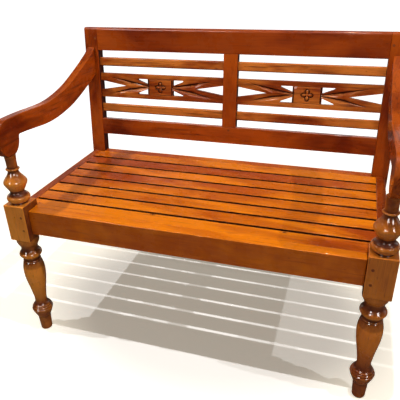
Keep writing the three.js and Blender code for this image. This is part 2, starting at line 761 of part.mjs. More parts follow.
// Seat slats, the first one notched round the leg blocks
const slatHalf = slatEndX - jointGap;
for (let i = 0; i < slatCount; i += 1) {
  const y0 = slatsStartY + i * slatPitch;
  let slat = solid(boardAlongX(-slatHalf, y0, slatBottom, slatHalf, y0 + slatWidth, seatHeight,
    [0, 0, arrisRadius, arrisRadius]));
  if (y0 < blockBackY + jointGap) {
    for (const sign of [-1, 1]) {
      const inner = sign * (legX - blockWidth / 2 - jointGap);
      const outer = sign * (slatHalf + overrun);
      slat = slat.subtract(solid(box(Math.min(inner, outer), y0 - overrun, slatBottom - overrun,
        Math.max(inner, outer), blockBackY + jointGap, seatHeight + overrun)));
    }
  }
  piece(`seat_slat_${i + 1}`, surface(slat), seatWood);
}

export default bench;
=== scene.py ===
"""Deacons bench: a lacquered hardwood bench, dressed over its CAD frame and set in a plain studio.

Metres, in the frame of the CAD: X runs along the bench, +Y to the back, +Z up, the floor at Z = 0.
"""
import math

import bmesh
import bpy
import numpy as np
from bpy.props import FloatProperty, FloatVectorProperty, IntProperty, PointerProperty
from mathutils import Matrix, Vector


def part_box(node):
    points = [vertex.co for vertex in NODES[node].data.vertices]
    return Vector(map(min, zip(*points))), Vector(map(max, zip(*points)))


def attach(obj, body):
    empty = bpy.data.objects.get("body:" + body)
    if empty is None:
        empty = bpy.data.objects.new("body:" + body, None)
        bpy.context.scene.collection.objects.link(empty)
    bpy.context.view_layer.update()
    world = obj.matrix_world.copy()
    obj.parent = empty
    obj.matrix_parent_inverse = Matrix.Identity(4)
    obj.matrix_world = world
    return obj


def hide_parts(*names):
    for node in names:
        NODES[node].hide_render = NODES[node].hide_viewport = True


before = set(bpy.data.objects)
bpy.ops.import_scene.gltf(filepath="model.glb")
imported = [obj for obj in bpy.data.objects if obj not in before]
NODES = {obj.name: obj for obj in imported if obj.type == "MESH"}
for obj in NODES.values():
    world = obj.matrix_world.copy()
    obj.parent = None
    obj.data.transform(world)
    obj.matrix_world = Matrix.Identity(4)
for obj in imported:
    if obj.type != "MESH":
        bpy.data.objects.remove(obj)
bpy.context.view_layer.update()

bl_info = {
    "name": "Deacons Bench",
    "version": (1, 0, 0),
    "blender": (4, 5, 0),
    "location": "View3D > Sidebar > Bench",
    "description": "Builds a turned and carved hardwood bench over its frame, with its studio",
    "category": "Object",
}

MM = 0.001
BODY = "root"
SIDES = {"left": -1, "right": 1}

# How far the back leans, and what it turns about: the posts' front face at the height of the seat
RAKE = math.radians(5.8)
SEAT_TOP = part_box("front_seat_rail")[1].z
JOINT_GAP = 0.3 * MM
POST_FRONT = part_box("side_seat_rail_left")[1].y + JOINT_GAP

# Grain directions of the pieces
ALONG_X = (0.0, 0.0, 0.0)
ALONG_Y = (0.0, 0.0, -math.pi / 2)
ALONG_Z = (0.0, math.pi / 2, 0.0)


def colour_property(name, description, default):
    """A colour that the user can change, linear red, green and blue."""
    return FloatVectorProperty(
        name=name, description=description, default=default, size=3, subtype="COLOR", min=0.0, max=1.0
    )


def length_property(name, description, default):
    """A length in metres that the user can change."""
    return FloatProperty(
        name=name, description=description, default=default, min=0.0, subtype="DISTANCE", unit="LENGTH"
    )


def share_property(name, description, default):
    """A share from 0 to 1 that the user can change."""
    return FloatProperty(
        name=name, description=description, default=default, min=0.0, max=1.0, subtype="FACTOR"
    )


def strength_property(name, description, default, unit="NONE"):
    """A strength of light, or a lamp's power, that the user can change."""
    return FloatProperty(name=name, description=description, default=default, min=0.0, unit=unit)


class BenchColours(bpy.types.PropertyGroup):
    """Colours of the lacquered wood."""

    seat_light: colour_property(
        "Seat light", "Bright orange of the seat slats and the front rail", (0.92, 0.235, 0.005)
    )
    seat_mid: colour_property("Seat middle", "Red-brown zones of the seat slats", (0.5, 0.075, 0.004))
    seat_dark: colour_property("Seat dark", "Darkest streaks in the seat slats", (0.11, 0.012, 0.002))
    rail_dark: colour_property(
        "Rail dark", "Red polish on the sides of the front and back rails", (0.3, 0.02, 0.001)
    )
    frame_light: colour_property(
        "Frame light", "Orange zones of the rails, posts and arms", (0.46, 0.078, 0.004)
    )
    frame_mid: colour_property(
        "Frame middle", "Red-brown of the rails, posts and arms", (0.2, 0.022, 0.002)
    )
    # Also the painted shade on the posts' inner faces and the stile's sides
    frame_dark: colour_property(
        "Frame dark", "Darkest streaks in the rails, posts and arms", (0.06, 0.006, 0.002)
    )
    carved_light: colour_property(
        "Carved light", "Golden orange of the thin back slats and the splats", (0.68, 0.2, 0.028)
    )
    carved_mid: colour_property(
        "Carved middle", "Red-brown of the thin back slats and the splats", (0.34, 0.055, 0.005)
    )
    # Also the painted shade on the lower arrises of the thin back slats
    carved_dark: colour_property(
        "Carved dark", "Dark edges of the thin back slats and the splats", (0.08, 0.008, 0.003)
    )
    turned_light: colour_property("Turned light", "Golden brown of the turned legs", (0.95, 0.31, 0.03))
    turned_mid: colour_property("Turned middle", "Middle brown of the turned legs", (0.54, 0.1, 0.007))
    # Also the painted shade on the legs' inner sides and the blocks' inner faces
    turned_dark: colour_property(
        "Turned dark", "Dark polish in the hollows of the turned legs", (0.17, 0.028, 0.006)
    )
    # Also the painted shade in gaps, grooves, hollows and on faces turned from the light
    stain_and_shade: colour_property("Stain_and_shade", "Near-black polish held in grooves and gaps", (0.032, 0.003, 0.002))
    peg: colour_property("Peg", "End grain of the pegs", (0.22, 0.05, 0.01))


class BenchFinish(bpy.types.PropertyGroup):
    """How the lacquer lies on the wood."""

    roughness: share_property("Roughness", "Roughness of the wood", 0.26)
    gloss: share_property("Gloss", "Specular level of the wood", 0.16)
    lacquer: share_property("Lacquer", "Weight of the clear coat", 0.2)
    relief: length_property("Relief", "Depth of the open grain under the lacquer", 0.25 * MM)
    # Wear also scales the painted highlights that the edge mask carries
    wear: share_property("Wear", "How far the arrises are rubbed light", 0.45)


class BenchShape(bpy.types.PropertyGroup):
    """Sizes that finish the shapes of the frame."""

    arris: length_property("Arris", "Radius of the eased arrises of rails and posts", 2.5 * MM)
    slat_arris: length_property("Slat arris", "Radius of the top arrises of the seat slats", 1.4 * MM)
    back_slat_arris: length_property(
        "Back slat arris", "Radius of the arrises of the thin back slats", 4.0 * MM
    )
    crest_round: length_property("Crest round", "Radius along the top of the crest rail", 9.0 * MM)
    arm_arris: length_property("Arm arris", "Radius of the arrises of the arms", 2.6 * MM)
    block_arris: length_property("Block arris", "Radius of the arrises of the leg blocks", 2.5 * MM)
    segments: IntProperty(
        name="Turning segments", description="Faces round a turning", default=96, min=12, max=256
    )


class StudioSettings(bpy.types.PropertyGroup):
    """Light and floor of the studio."""

    lamp: strength_property("Lamp", "Power of each overhead lamp", 15.0, "POWER")
    front: strength_property("Front", "Power of the front lamp", 4.0, "POWER")
    lamp_size: length_property("Lamp size", "Width of each round lamp", 0.02)
    fill: strength_property("Fill", "Strength of the even light all round", 0.14)
    sheen: strength_property("Sheen", "Strength of the backdrop in reflections", 0.3)
    overhead: strength_property("Overhead", "Strength from above in reflections", 0.4)
    softbox: strength_property("Softboxes", "Strength of the softboxes in reflections", 22.0)
    floor: colour_property("Floor", "Colour of the floor", (0.8, 0.84, 0.86))


# Meshes from arrays

# Edges sharper than this keep their crease in the light
CREASE = math.radians(40)
# Steps of the quarter circles round a corner and at an end
CORNER_STEPS = 6
END_STEPS = 4
# How far beside them a row of points holds the flats
HOLD = 0.4 * MM
# Points nearer to a face than this lie on it
FACE_DEPTH = 0.1 * MM


def piece_from(name, points, faces, material, node, masks):
    """Makes a closed piece from points and faces, stores its masks, and puts it in the place of a node."""
    mesh = bpy.data.meshes.new(name)
    mesh.from_pydata(points.tolist(), [], faces)
    for mask, values in masks.items():
        mesh.attributes.new(mask, "FLOAT", "POINT").data.foreach_set("value", values.astype(np.float32))
    shell = bmesh.new()
    shell.from_mesh(mesh)
    bmesh.ops.recalc_face_normals(shell, faces=shell.faces)
    shell.to_mesh(mesh)
    shell.free()
    mesh.shade_smooth()
    mesh.set_sharp_from_angle(angle=CREASE)
    mesh.materials.append(material)
    piece = bpy.data.objects.new(name, mesh)
    bpy.context.scene.collection.objects.link(piece)
    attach(piece, BODY)
    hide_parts(node)


def ring_faces(rings, around):
    """Quads between successive closed rings of points, and a flat face over each end."""
    ring = np.arange(rings - 1)[:, None] * around
    here = np.arange(around)[None, :]
    after = (here + 1) % around
    quads = np.stack([ring + here, ring + after, ring + around + after, ring + around + here], axis=-1)
    first = list(range(around))
    last = list(range((rings - 1) * around, rings * around))
    return quads.reshape(-1, 4).tolist() + [first, last]


def raked(points):
    """Leans points back: X stays, Y is depth behind the posts' front, Z is height up from the seat."""
    x, depth, height = points.T
    return np.stack(
        [
            x,
            POST_FRONT + depth * math.cos(RAKE) + height * math.sin(RAKE),
            SEAT_TOP + height * math.cos(RAKE) - depth * math.sin(RAKE),
        ],
        axis=-1,
    )


def unraked_box(node, radius=0.0):
    """Lowest and highest X, depth and height of a square-edged piece of the raked back.

    The box of a leaning rectangle gives four equations for its two depths and two heights. A rounded corner
    draws each side of that box in by radius * (cosine + sine - 1).
    """
    low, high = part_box(node)
    cosine, sine = math.cos(RAKE), math.sin(RAKE)
    trim = radius * (cosine + sine - 1)
    sides = np.array([
        [cosine, sine, 0, 0],
        [0, 0, cosine, sine],
        [-sine, 0, 0, cosine],
        [0, cosine, -sine, 0],
    ])
    ends = [
        low.y - POST_FRONT - trim,
        high.y - POST_FRONT + trim,
        high.z - SEAT_TOP + trim,
        low.z - SEAT_TOP - trim,
    ]
    near, lowest, far, highest = np.linalg.solve(sides, ends)
    return (low.x, near, lowest), (high.x, far, highest)


def rounded_section(low, high, radii):
    """Outline of a rectangle, anticlockwise from its low-low corner, each corner a quarter circle.

    A point on the flat stands beside each end of an arc, so that the flats stay flat in the light.
    Returns the points and how far each one is round its arris: the sine of its share of the turn.
    """
    share = np.linspace(0.0, 1.0, CORNER_STEPS + 1)
    points, edge = [], []
    corners = ((0, 0, 1, 1), (1, 0, -1, 1), (1, 1, -1, -1), (0, 1, 1, -1))
    for i, (a, b, in_a, in_b) in enumerate(corners):
        radius = max(radii[i], HOLD)
        centre = np.array([(low[0], high[0])[a] + in_a * radius, (low[1], high[1])[b] + in_b * radius])
        turn = math.pi + math.pi / 2 * (i + share)
        arc = centre + radius * np.stack([np.cos(turn), np.sin(turn)], axis=-1)
        before = arc[0] - HOLD * np.array([-math.sin(turn[0]), math.cos(turn[0])])
        after = arc[-1] + HOLD * np.array([-math.sin(turn[-1]), math.cos(turn[-1])])
        points += [before, *arc, after]
        edge += [0.0, *np.sin(math.pi * share), 0.0]
    return np.array(points), np.array(edge)


def eased_ends(start, end, easing):
    """Places along a piece and how far each ring is drawn in: a quarter circle at each end.

    At an angle t of the quarter turn a ring lies easing * (1 - cos t) from the end and is drawn in by
    easing * (1 - sin t).
    """
    turn = np.linspace(0.0, math.pi / 2, END_STEPS + 1)
    along = easing * (1 - np.cos(turn))
    inset = easing * (1 - np.sin(turn))
    along = np.concatenate([[0.0], along, [easing + HOLD]])
    inset = np.concatenate([[easing + HOLD], inset, [0.0]])
    places = np.concatenate([start + along, end - along[::-1]])
    return places, np.concatenate([inset, inset[::-1]])


def bar(section, edge, start, end, easing):
    """Carries a section along X, its ends eased by drawing the section in towards its middle.

    Returns the points, the faces and the edge mask: the section's own, or 3 t (1 - t) where an end is drawn
    in by a share t of its easing.
    """
    places, inset = eased_ends(start, end, easing)
    middle = (section.min(0) + section.max(0)) / 2
    half = (section.max(0) - section.min(0)) / 2
    shrink = 1 - inset[:, None, None] / half
    rings = middle + (section - middle) * shrink
    x = np.broadcast_to(places[:, None, None], rings.shape[:2] + (1,))
    points = np.concatenate([x, rings], axis=-1).reshape(-1, 3)
    end_edge = np.clip(inset / easing, 0, 1) * (inset <= easing)
    edges = np.maximum(edge[None, :], (3 * end_edge * (1 - end_edge))[:, None])
    return points, ring_faces(len(places), len(section)), edges.reshape(-1)


def turned_axis(points, axis):
    """Swaps axes so that a bar made along X runs along Y or Z instead."""
    if axis == "Y":
        return points[:, (1, 0, 2)]
    if axis == "Z":
        return points[:, (1, 2, 0)]
    return points


def plate(outline, x0, x1, easing):
    """A board sawn to a closed outline in Y and Z, between two places in X, its arrises quarter round.

    Each ring is the outline moved inwards along its own normals, by the amounts that eased_ends gives.
    """
    ahead = np.roll(outline, -1, axis=0) - np.roll(outline, 1, axis=0)
    ahead /= np.linalg.norm(ahead, axis=1, keepdims=True)
    area = np.sum(outline[:, 0] * np.roll(outline[:, 1], -1) - outline[:, 1] * np.roll(outline[:, 0], -1))
    inwards = np.stack([-ahead[:, 1], ahead[:, 0]], axis=-1) * np.sign(area)
    places, inset = eased_ends(x0, x1, easing)
    rings = outline[None] + inwards[None] * inset[:, None, None]
    x = np.broadcast_to(places[:, None, None], rings.shape[:2] + (1,))
    points = np.concatenate([x, rings], axis=-1).reshape(-1, 3)
    share = np.clip(inset / easing, 0, 1) * (inset <= easing)
    edge = np.broadcast_to(np.sin(math.pi * share)[:, None], rings.shape[:2])
    return points, ring_faces(len(places), len(outline)), edge.reshape(-1)


def smooth_curve(points, count):
    """A smooth curve through a row of points: a cubic between each pair.

    The slope at a point is half the step between its neighbours.
    """
    points = np.asarray(points, float)
    place = np.linspace(0, len(points) - 1, count)
    at = np.minimum(place.astype(int), len(points) - 2)
    t = (place - at)[:, None]
    last = len(points) - 1
    p0, p1 = points[np.maximum(at - 1, 0)], points[at]
    p2, p3 = points[at + 1], points[np.minimum(at + 2, last)]
    v0, v1 = (p2 - p0) / 2, (p3 - p1) / 2
    cubic = (2 * p1 - 2 * p2 + v0 + v1) * t**3 + (-3 * p1 + 3 * p2 - 2 * v0 - v1) * t**2
    return cubic + v0 * t + p1


def resampled(outline, spacing):
    """A closed outline with its points set evenly along its length."""
    closed = np.vstack([outline, outline[:1]])
    length = np.concatenate([[0], np.cumsum(np.linalg.norm(np.diff(closed, axis=0), axis=1))])
    places = np.linspace(0, length[-1], int(length[-1] / spacing) + 1)[:-1]
    return np.stack([np.interp(places, length, closed[:, k]) for k in (0, 1)], axis=-1)


def softened(values, reach):
    """A closed row of values or points averaged with a bell curve of that reach, in steps of the row."""
    offsets = np.arange(-3 * reach, 3 * reach + 1)
    weights = np.exp(-0.5 * (offsets / reach) ** 2)
    return sum(w * np.roll(values, k, axis=0) for w, k in zip(weights / weights.sum(), offsets))


# Wood

# Scales of the long noises along, across and through the grain, for each metre
WANDER_SCALE = (1.0, 4.0, 4.0)
STREAK_SCALE = (6.0, 130.0, 130.0)
SPECK_SCALE = (45.0, 170.0, 170.0)
PORE_SCALE = (28.0, 900.0, 900.0)
SWELL_SCALE = (4.0, 11.0, 11.0)
# Turn of the ring pattern in each metre across the grain, and how far the wandering bends it, in radians
RING_TURN = 700.0
RING_WANDER = 60.0
# Clear coat: its roughness, and how many times the lacquer's weight lies on turned pieces and on the others
COAT_ROUGHNESS = 0.08
TURNED_COAT = 4.0
PLANED_COAT = 1.4
# Places in the log are drawn by number: the first number, the reach of a draw in metres, and the number at
# which each kind of piece starts
LOG_SEED = 1000
LOG_REACH = 4.0
LOG_NUMBERS = {
    "leg": 0, "arm": 10, "post": 20, "side_rail": 32, "seat_slat": 40, "back_rail": 44, "front_rail": 45,
    "crest_rail": 60, "lower_rail": 61, "back_slat": 62, "stile": 70, "splat": 80, "peg": 90, "bearer": 95,
}


def group_socket(group, name, kind, direction, default=None):
    """Adds a named socket to a shader group."""
    socket = group.interface.new_socket(name, in_out=direction, socket_type=kind)
    if default is not None:
        socket.default_value = default
    return socket


class Graph:
    """A short way to lay nodes and links in one node tree."""

    def __init__(self, tree):
        self.tree = tree

    def node(self, kind, **settings):
        made = self.tree.nodes.new(kind)
        for key, value in settings.items():
            setattr(made, key, value)
        return made

    def link(self, source, target):
        self.tree.links.new(source, target)

    def feed(self, socket, value):
        if isinstance(value, bpy.types.NodeSocket):
            self.link(value, socket)
        else:
            socket.default_value = value

    def maths(self, operation, a, b=0.0, c=0.0, clamp=False):
        made = self.node("ShaderNodeMath", operation=operation, use_clamp=clamp)
        for socket, value in zip(made.inputs, (a, b, c)):
            self.feed(socket, value)
        return made.outputs[0]

    def coordinates(self, vector):
        made = self.node("ShaderNodeSeparateXYZ")
        self.link(vector, made.inputs[0])
        return made.outputs

    def stretched(self, vector, scale):
        made = self.node("ShaderNodeVectorMath", operation="MULTIPLY")
        self.feed(made.inputs[0], vector)
        made.inputs[1].default_value = scale
        return made.outputs[0]

    def noise(self, vector, scale, detail=2.0, roughness=0.5, distortion=0.0):
        made = self.node("ShaderNodeTexNoise")
        self.link(vector, made.inputs["Vector"])
        made.inputs["Scale"].default_value = scale
        made.inputs["Detail"].default_value = detail
        made.inputs["Roughness"].default_value = roughness
        made.inputs["Distortion"].default_value = distortion
        return made.outputs[0]

    def ramp(self, value, low, high, out_low=0.0, out_high=1.0):
        made = self.node("ShaderNodeMapRange", interpolation_type="SMOOTHSTEP")
        self.feed(made.inputs["Value"], value)
        made.inputs["From Min"].default_value = low
        made.inputs["From Max"].default_value = high
        made.inputs["To Min"].default_value = out_low
        made.inputs["To Max"].default_value = out_high
        return made.outputs[0]

    def mix(self, factor, a, b):
        made = self.node("ShaderNodeMix", data_type="RGBA")
        self.feed(made.inputs["Factor"], factor)
        self.feed(made.inputs["A"], a)
        self.feed(made.inputs["B"], b)
        return made.outputs["Result"]


def figure_group():
    """Figure of straight-grained hardwood: the grain runs along X of the vector.

    Ribbon is a slow noise drawn out along the grain and slanted across it. Rings is a band pattern that a
    second noise bends. Streaks, Specks and Pores are ever finer long noises, cut off near their tops.
    """
    name = "Hardwood figure"
    if name in bpy.data.node_groups:
        return bpy.data.node_groups[name]
    group = bpy.data.node_groups.new(name, "ShaderNodeTree")
    group_socket(group, "Vector", "NodeSocketVector", "INPUT")
    for output in ("Ribbon", "Rings", "Streaks", "Specks", "Pores"):
        group_socket(group, output, "NodeSocketFloat", "OUTPUT")
    graph = Graph(group)
    enter = graph.node("NodeGroupInput")
    leave = graph.node("NodeGroupOutput")
    plank = enter.outputs["Vector"]
    x, y, z = graph.coordinates(plank)

    slanted = graph.node("ShaderNodeCombineXYZ")
    graph.link(graph.maths("MULTIPLY_ADD", y, 1.6, x), slanted.inputs["X"])
    graph.link(graph.maths("MULTIPLY", y, 3.0), slanted.inputs["Y"])
    graph.link(graph.maths("MULTIPLY", z, 3.0), slanted.inputs["Z"])
    ribbon = graph.noise(slanted.outputs[0], 4.2, 3.0, 0.55, 0.4)
    graph.link(graph.ramp(ribbon, 0.34, 0.66), leave.inputs["Ribbon"])

    wander = graph.noise(graph.stretched(plank, WANDER_SCALE), 2.6, 3.0, 0.5)
    slope = graph.maths("MULTIPLY_ADD", z, 0.6, y)
    turns = graph.maths("MULTIPLY_ADD", wander, RING_WANDER, graph.maths("MULTIPLY", slope, RING_TURN))
    graph.link(graph.maths("MULTIPLY_ADD", graph.maths("SINE", turns), 0.5, 0.5), leave.inputs["Rings"])

    streaks = graph.noise(graph.stretched(plank, STREAK_SCALE), 1.0, 3.0, 0.55, 0.3)
    graph.link(graph.ramp(streaks, 0.54, 0.74), leave.inputs["Streaks"])

    specks = graph.noise(graph.stretched(plank, SPECK_SCALE), 1.0, 2.0, 0.5)
    graph.link(graph.ramp(specks, 0.68, 0.76), leave.inputs["Specks"])

    pores = graph.noise(graph.stretched(plank, PORE_SCALE), 1.0, 1.0)
    graph.link(graph.ramp(pores, 0.58, 0.72), leave.inputs["Pores"])
    return group


def knot_group():
    """One knot: a dark eye, longer along the grain, with a ragged edge."""
    name = "Knot"
    if name in bpy.data.node_groups:
        return bpy.data.node_groups[name]
    group = bpy.data.node_groups.new(name, "ShaderNodeTree")
    group_socket(group, "Vector", "NodeSocketVector", "INPUT")
    group_socket(group, "Place", "NodeSocketVector", "INPUT")
    group_socket(group, "Size", "NodeSocketFloat", "INPUT", 0.01)
    group_socket(group, "Mask", "NodeSocketFloat", "OUTPUT")
    graph = Graph(group)
    enter = graph.node("NodeGroupInput")
    leave = graph.node("NodeGroupOutput")
    away = graph.node("ShaderNodeVectorMath", operation="SUBTRACT")
    graph.link(enter.outputs["Vector"], away.inputs[0])
    graph.link(enter.outputs["Place"], away.inputs[1])
    reach = graph.node("ShaderNodeVectorMath", operation="LENGTH")
    graph.link(graph.stretched(away.outputs[0], (0.55, 1.0, 1.0)), reach.inputs[0])
    ragged = graph.noise(enter.outputs["Vector"], 260.0, 3.0, 0.6)
    far = graph.maths("DIVIDE", reach.outputs["Value"], enter.outputs["Size"])
    far = graph.maths("ADD", far, graph.ramp(ragged, 0.3, 0.7, -0.45, 0.45))
    graph.link(graph.ramp(far, 0.3, 1.2, 1.0, 0.0), leave.inputs["Mask"])
    return group


def lacquer_group():
    """Colour, roughness and relief of stained and lacquered wood from its figure and its masks.

    Light turns to Middle by the ribbon, shifted by Tone, and to Dark by rings, streaks and the mask of
    polish and painted shade. The edge mask takes the wood back to Light, on rubbed arrises and as a painted
    highlight; the mask of stain and painted shade, and Knot, take the wood to the stain's colour. Slow
    noises break the masks up.
    """
    name = "Lacquered wood"
    if name in bpy.data.node_groups:
        return bpy.data.node_groups[name]
    group = bpy.data.node_groups.new(name, "ShaderNodeTree")
    group_socket(group, "Vector", "NodeSocketVector", "INPUT")
    for key in ("Light", "Middle", "Dark", "Stain colour"):
        group_socket(group, key, "NodeSocketColor", "INPUT", (0.5, 0.5, 0.5, 1.0))
    for key, default in (
        ("Tone", 0.0), ("Contrast", 1.0), ("Edge", 0.0), ("Polish_and_shade", 0.0), ("Stain_and_shade", 0.0), ("Knot", 0.0),
        ("Wear", 0.5), ("Roughness", 0.2),
    ):
        group_socket(group, key, "NodeSocketFloat", "INPUT", default)
    group_socket(group, "Color", "NodeSocketColor", "OUTPUT")
    group_socket(group, "Roughness", "NodeSocketFloat", "OUTPUT")
    group_socket(group, "Height", "NodeSocketFloat", "OUTPUT")
    graph = Graph(group)
    enter = graph.node("NodeGroupInput")
    leave = graph.node("NodeGroupOutput")
    plank = enter.outputs["Vector"]
    figure = graph.node("ShaderNodeGroup", node_tree=figure_group())
    graph.link(plank, figure.inputs["Vector"])
    ribbon = figure.outputs["Ribbon"]
    contrast = enter.outputs["Contrast"]

    shifted = graph.maths("MULTIPLY_ADD", graph.maths("SUBTRACT", ribbon, 0.5), contrast, 0.45)
    shifted = graph.maths("ADD", shifted, enter.outputs["Tone"], clamp=True)
    colour = graph.mix(shifted, enter.outputs["Light"], enter.outputs["Middle"])
    deep = graph.maths("SUBTRACT", graph.maths("ADD", enter.outputs["Tone"], ribbon), 1.0, clamp=True)
    colour = graph.mix(graph.maths("MULTIPLY", deep, 0.6), colour, enter.outputs["Dark"])
    ringing = graph.maths("MULTIPLY_ADD", shifted, 0.22, 0.06)
    ringing = graph.maths("MULTIPLY", figure.outputs["Rings"], ringing)
    colour = graph.mix(graph.maths("MULTIPLY", ringing, contrast), colour, enter.outputs["Dark"])
    streaking = graph.maths("MULTIPLY", figure.outputs["Streaks"], contrast)
    colour = graph.mix(graph.maths("MULTIPLY", streaking, 0.55), colour, enter.outputs["Dark"])
    colour = graph.mix(graph.maths("MULTIPLY", figure.outputs["Specks"], 0.6), colour, enter.outputs["Dark"])
    colour = graph.mix(graph.maths("MULTIPLY", figure.outputs["Pores"], 0.3), colour, enter.outputs["Dark"])

    cloudy = graph.ramp(graph.noise(plank, 26.0, 4.0, 0.6), 0.3, 0.65, 0.72, 1.0)
    # Polish and painted shade, broken up by a cloudy noise
    polish_and_shade_share = graph.maths("MULTIPLY", enter.outputs["Polish_and_shade"], cloudy)
    colour = graph.mix(polish_and_shade_share, colour, enter.outputs["Dark"])
    patchy = graph.ramp(graph.noise(plank, 60.0, 4.0, 0.6), 0.35, 0.6)
    wear_and_highlight = graph.maths("MULTIPLY", patchy, enter.outputs["Wear"])
    wear_and_highlight = graph.maths("MULTIPLY", enter.outputs["Edge"], wear_and_highlight)
    colour = graph.mix(wear_and_highlight, colour, enter.outputs["Light"])
    held = graph.ramp(graph.noise(plank, 35.0, 3.0), 0.1, 0.5, 0.7, 1.0)
    held = graph.maths("MULTIPLY", enter.outputs["Stain_and_shade"], held)
    held = graph.maths("MAXIMUM", held, graph.maths("MULTIPLY", enter.outputs["Knot"], 0.88))
    colour = graph.mix(held, colour, enter.outputs["Stain colour"])
    graph.link(colour, leave.inputs["Color"])

    clouds = graph.noise(plank, 14.0, 4.0, 0.6)
    rough = graph.maths("ADD", enter.outputs["Roughness"], graph.ramp(clouds, 0.3, 0.7, -0.04, 0.08))
    rough = graph.maths("MULTIPLY_ADD", figure.outputs["Pores"], 0.12, rough)
    rough = graph.maths("MULTIPLY_ADD", wear_and_highlight, 0.12, rough)
    graph.link(graph.maths("MULTIPLY_ADD", held, 0.25, rough), leave.inputs["Roughness"])

    height = graph.maths("MULTIPLY", graph.noise(graph.stretched(plank, SWELL_SCALE), 1.0, 2.0), 2.4)
    height = graph.maths("MULTIPLY_ADD", figure.outputs["Pores"], -0.45, height)
    height = graph.maths("MULTIPLY_ADD", figure.outputs["Streaks"], -0.2, height)
    graph.link(height, leave.inputs["Height"])
    return group


def wood(context, name, finish, grain, shift, tone, contrast, sweep=(), knots=(), way="X", instead=None):
    """Lacquered wood of one piece: its finish's colours, the way of its grain, and its own place in the log.

    The sweep lists places along X, or along another way, in millimetres, with the tone added there. A knot
    is a place and a size in millimetres. Instead names colours in place of the finish's own.
    """
    colours = context.scene.bench_colours
    settings = context.scene.bench_finish
    material = bpy.data.materials.new(name)
    material.use_nodes = True
    graph = Graph(material.node_tree)
    shader = material.node_tree.nodes["Principled BSDF"]
    shader.inputs["Specular IOR Level"].default_value = settings.gloss
    shader.inputs["IOR"].default_value = 1.5
    coated = TURNED_COAT if finish == "turned" else PLANED_COAT
    shader.inputs["Coat Weight"].default_value = settings.lacquer * coated
    shader.inputs["Coat Roughness"].default_value = COAT_ROUGHNESS
    place = graph.node("ShaderNodeTexCoord")
    turned = graph.node("ShaderNodeMapping")
    graph.link(place.outputs["Object"], turned.inputs["Vector"])
    turned.inputs["Rotation"].default_value = grain
    turned.inputs["Location"].default_value = shift
    coat = graph.node("ShaderNodeGroup", node_tree=lacquer_group())
    graph.link(turned.outputs["Vector"], coat.inputs["Vector"])
    for key, value in (("Light", "light"), ("Middle", "mid"), ("Dark", "dark")):
        coat.inputs[key].default_value = (*getattr(colours, f"{finish}_{value}"), 1.0)
    for key, colour in (instead or {}).items():
        coat.inputs[key].default_value = (*colour, 1.0)
    coat.inputs["Stain colour"].default_value = (*colours.stain_and_shade, 1.0)
    coat.inputs["Tone"].default_value = tone
    coat.inputs["Contrast"].default_value = contrast
    coat.inputs["Wear"].default_value = settings.wear
    coat.inputs["Roughness"].default_value = settings.roughness
    if sweep:
        along = graph.coordinates(place.outputs["Object"])[way]
        start = -0.5 if way == "X" else 0.0
        graph.link(swept(graph, along, start, sweep, tone), coat.inputs["Tone"])
    if knots:
        graph.link(knotted(graph, place.outputs["Object"], knots), coat.inputs["Knot"])
    # Masks from the pieces: rubbed arrises with painted highlights, and polish and stain, both with painted
    # shade
    for mask in ("edge", "polish_and_shade", "stain_and_shade"):
        stored = graph.node("ShaderNodeAttribute", attribute_name=mask)
        graph.link(stored.outputs["Fac"], coat.inputs[mask.capitalize()])
    graph.link(coat.outputs["Color"], shader.inputs["Base Color"])
    graph.link(coat.outputs["Roughness"], shader.inputs["Roughness"])
    bump = graph.node("ShaderNodeBump")
    bump.inputs["Strength"].default_value = 1.0
    bump.inputs["Distance"].default_value = settings.relief
    graph.link(coat.outputs["Height"], bump.inputs["Height"])
    graph.link(bump.outputs["Normal"], shader.inputs["Normal"])
    return material


def swept(graph, along, start, sweep, tone):
    """Tone along one way: a soft line through the sweep's places, over the metre from the start."""
    ramp = graph.node("ShaderNodeValToRGB")
    ramp.color_ramp.interpolation = "EASE"
    for number, (place, value) in enumerate(sweep):
        share = min(1.0, max(0.0, place * MM - start))
        if number < 2:
            stop = ramp.color_ramp.elements[number]
            stop.position = share
        else:
            stop = ramp.color_ramp.elements.new(share)
        stop.color = (0.5 + 0.5 * value,) * 3 + (1.0,)
    graph.link(graph.maths("SUBTRACT", along, start), ramp.inputs["Fac"])
    return graph.maths("MULTIPLY_ADD", ramp.outputs["Color"], 2.0, tone - 1.0)


def knotted(graph, vector, knots):
    """The strongest of a piece's knots at each point."""
    mask = 0.0
    for place, size in knots:
        knot = graph.node("ShaderNodeGroup", node_tree=knot_group())
        graph.link(vector, knot.inputs["Vector"])
        knot.inputs["Place"].default_value = [length * MM for length in place]
        knot.inputs["Size"].default_value = size * MM
        mask = graph.maths("MAXIMUM", mask, knot.outputs["Mask"])
    return mask


def log_shift(kind, number=0):
    """A place in the log for a piece, by its kind and its number, the same on every run."""
    draws = np.random.default_rng(LOG_SEED + LOG_NUMBERS[kind] + number)
    return tuple(draws.uniform(-LOG_REACH, LOG_REACH, 3))


# Turned legs, in millimetres. A station of a turning is a radius and a height.
BLOCK_HEIGHT = 118
BLOCK_PROUD = 20
BLOCK_HALF = 34
# Stations from the floor up
FOOT_RADIUS = 18
FOOT_ROUND = 6
ANKLE = (20.4, 57)
RING_FOOT = (21.5, 57)
RING_BELLY = (33, 87.5)
RING_TOP = (30.8, 92)
LIP_RADIUS = 31
LIP_TOP = (28, 98.5)
STEP_RADIUS = 27.6
STEP_TOP = (24.5, 104)
COVE_TOP = (18.8, 117)
BALUSTER_FOOT = (18.8, 119)
BELLY_RADIUS = 33
# Parts from the block's underside down to the belly of the baluster: their lengths and their radii
CAP_BAND = 9
CAP_LENGTH = 27
CAP_RADIUS = 33.9
NECK_LENGTH = 4
NECK_RADIUS = 25
COLLAR_LENGTH = 36
COLLAR_RADIUS = 34
THROAT_LENGTH = 3
THROAT_RADIUS = 24.5
BEAD_LENGTH = 5
BEAD_RADIUS = 27
BEAD_FOOT_RADIUS = 25.3
SHOULDER_LENGTH = 41
# How deep a turning runs into the block
SUNK = 2
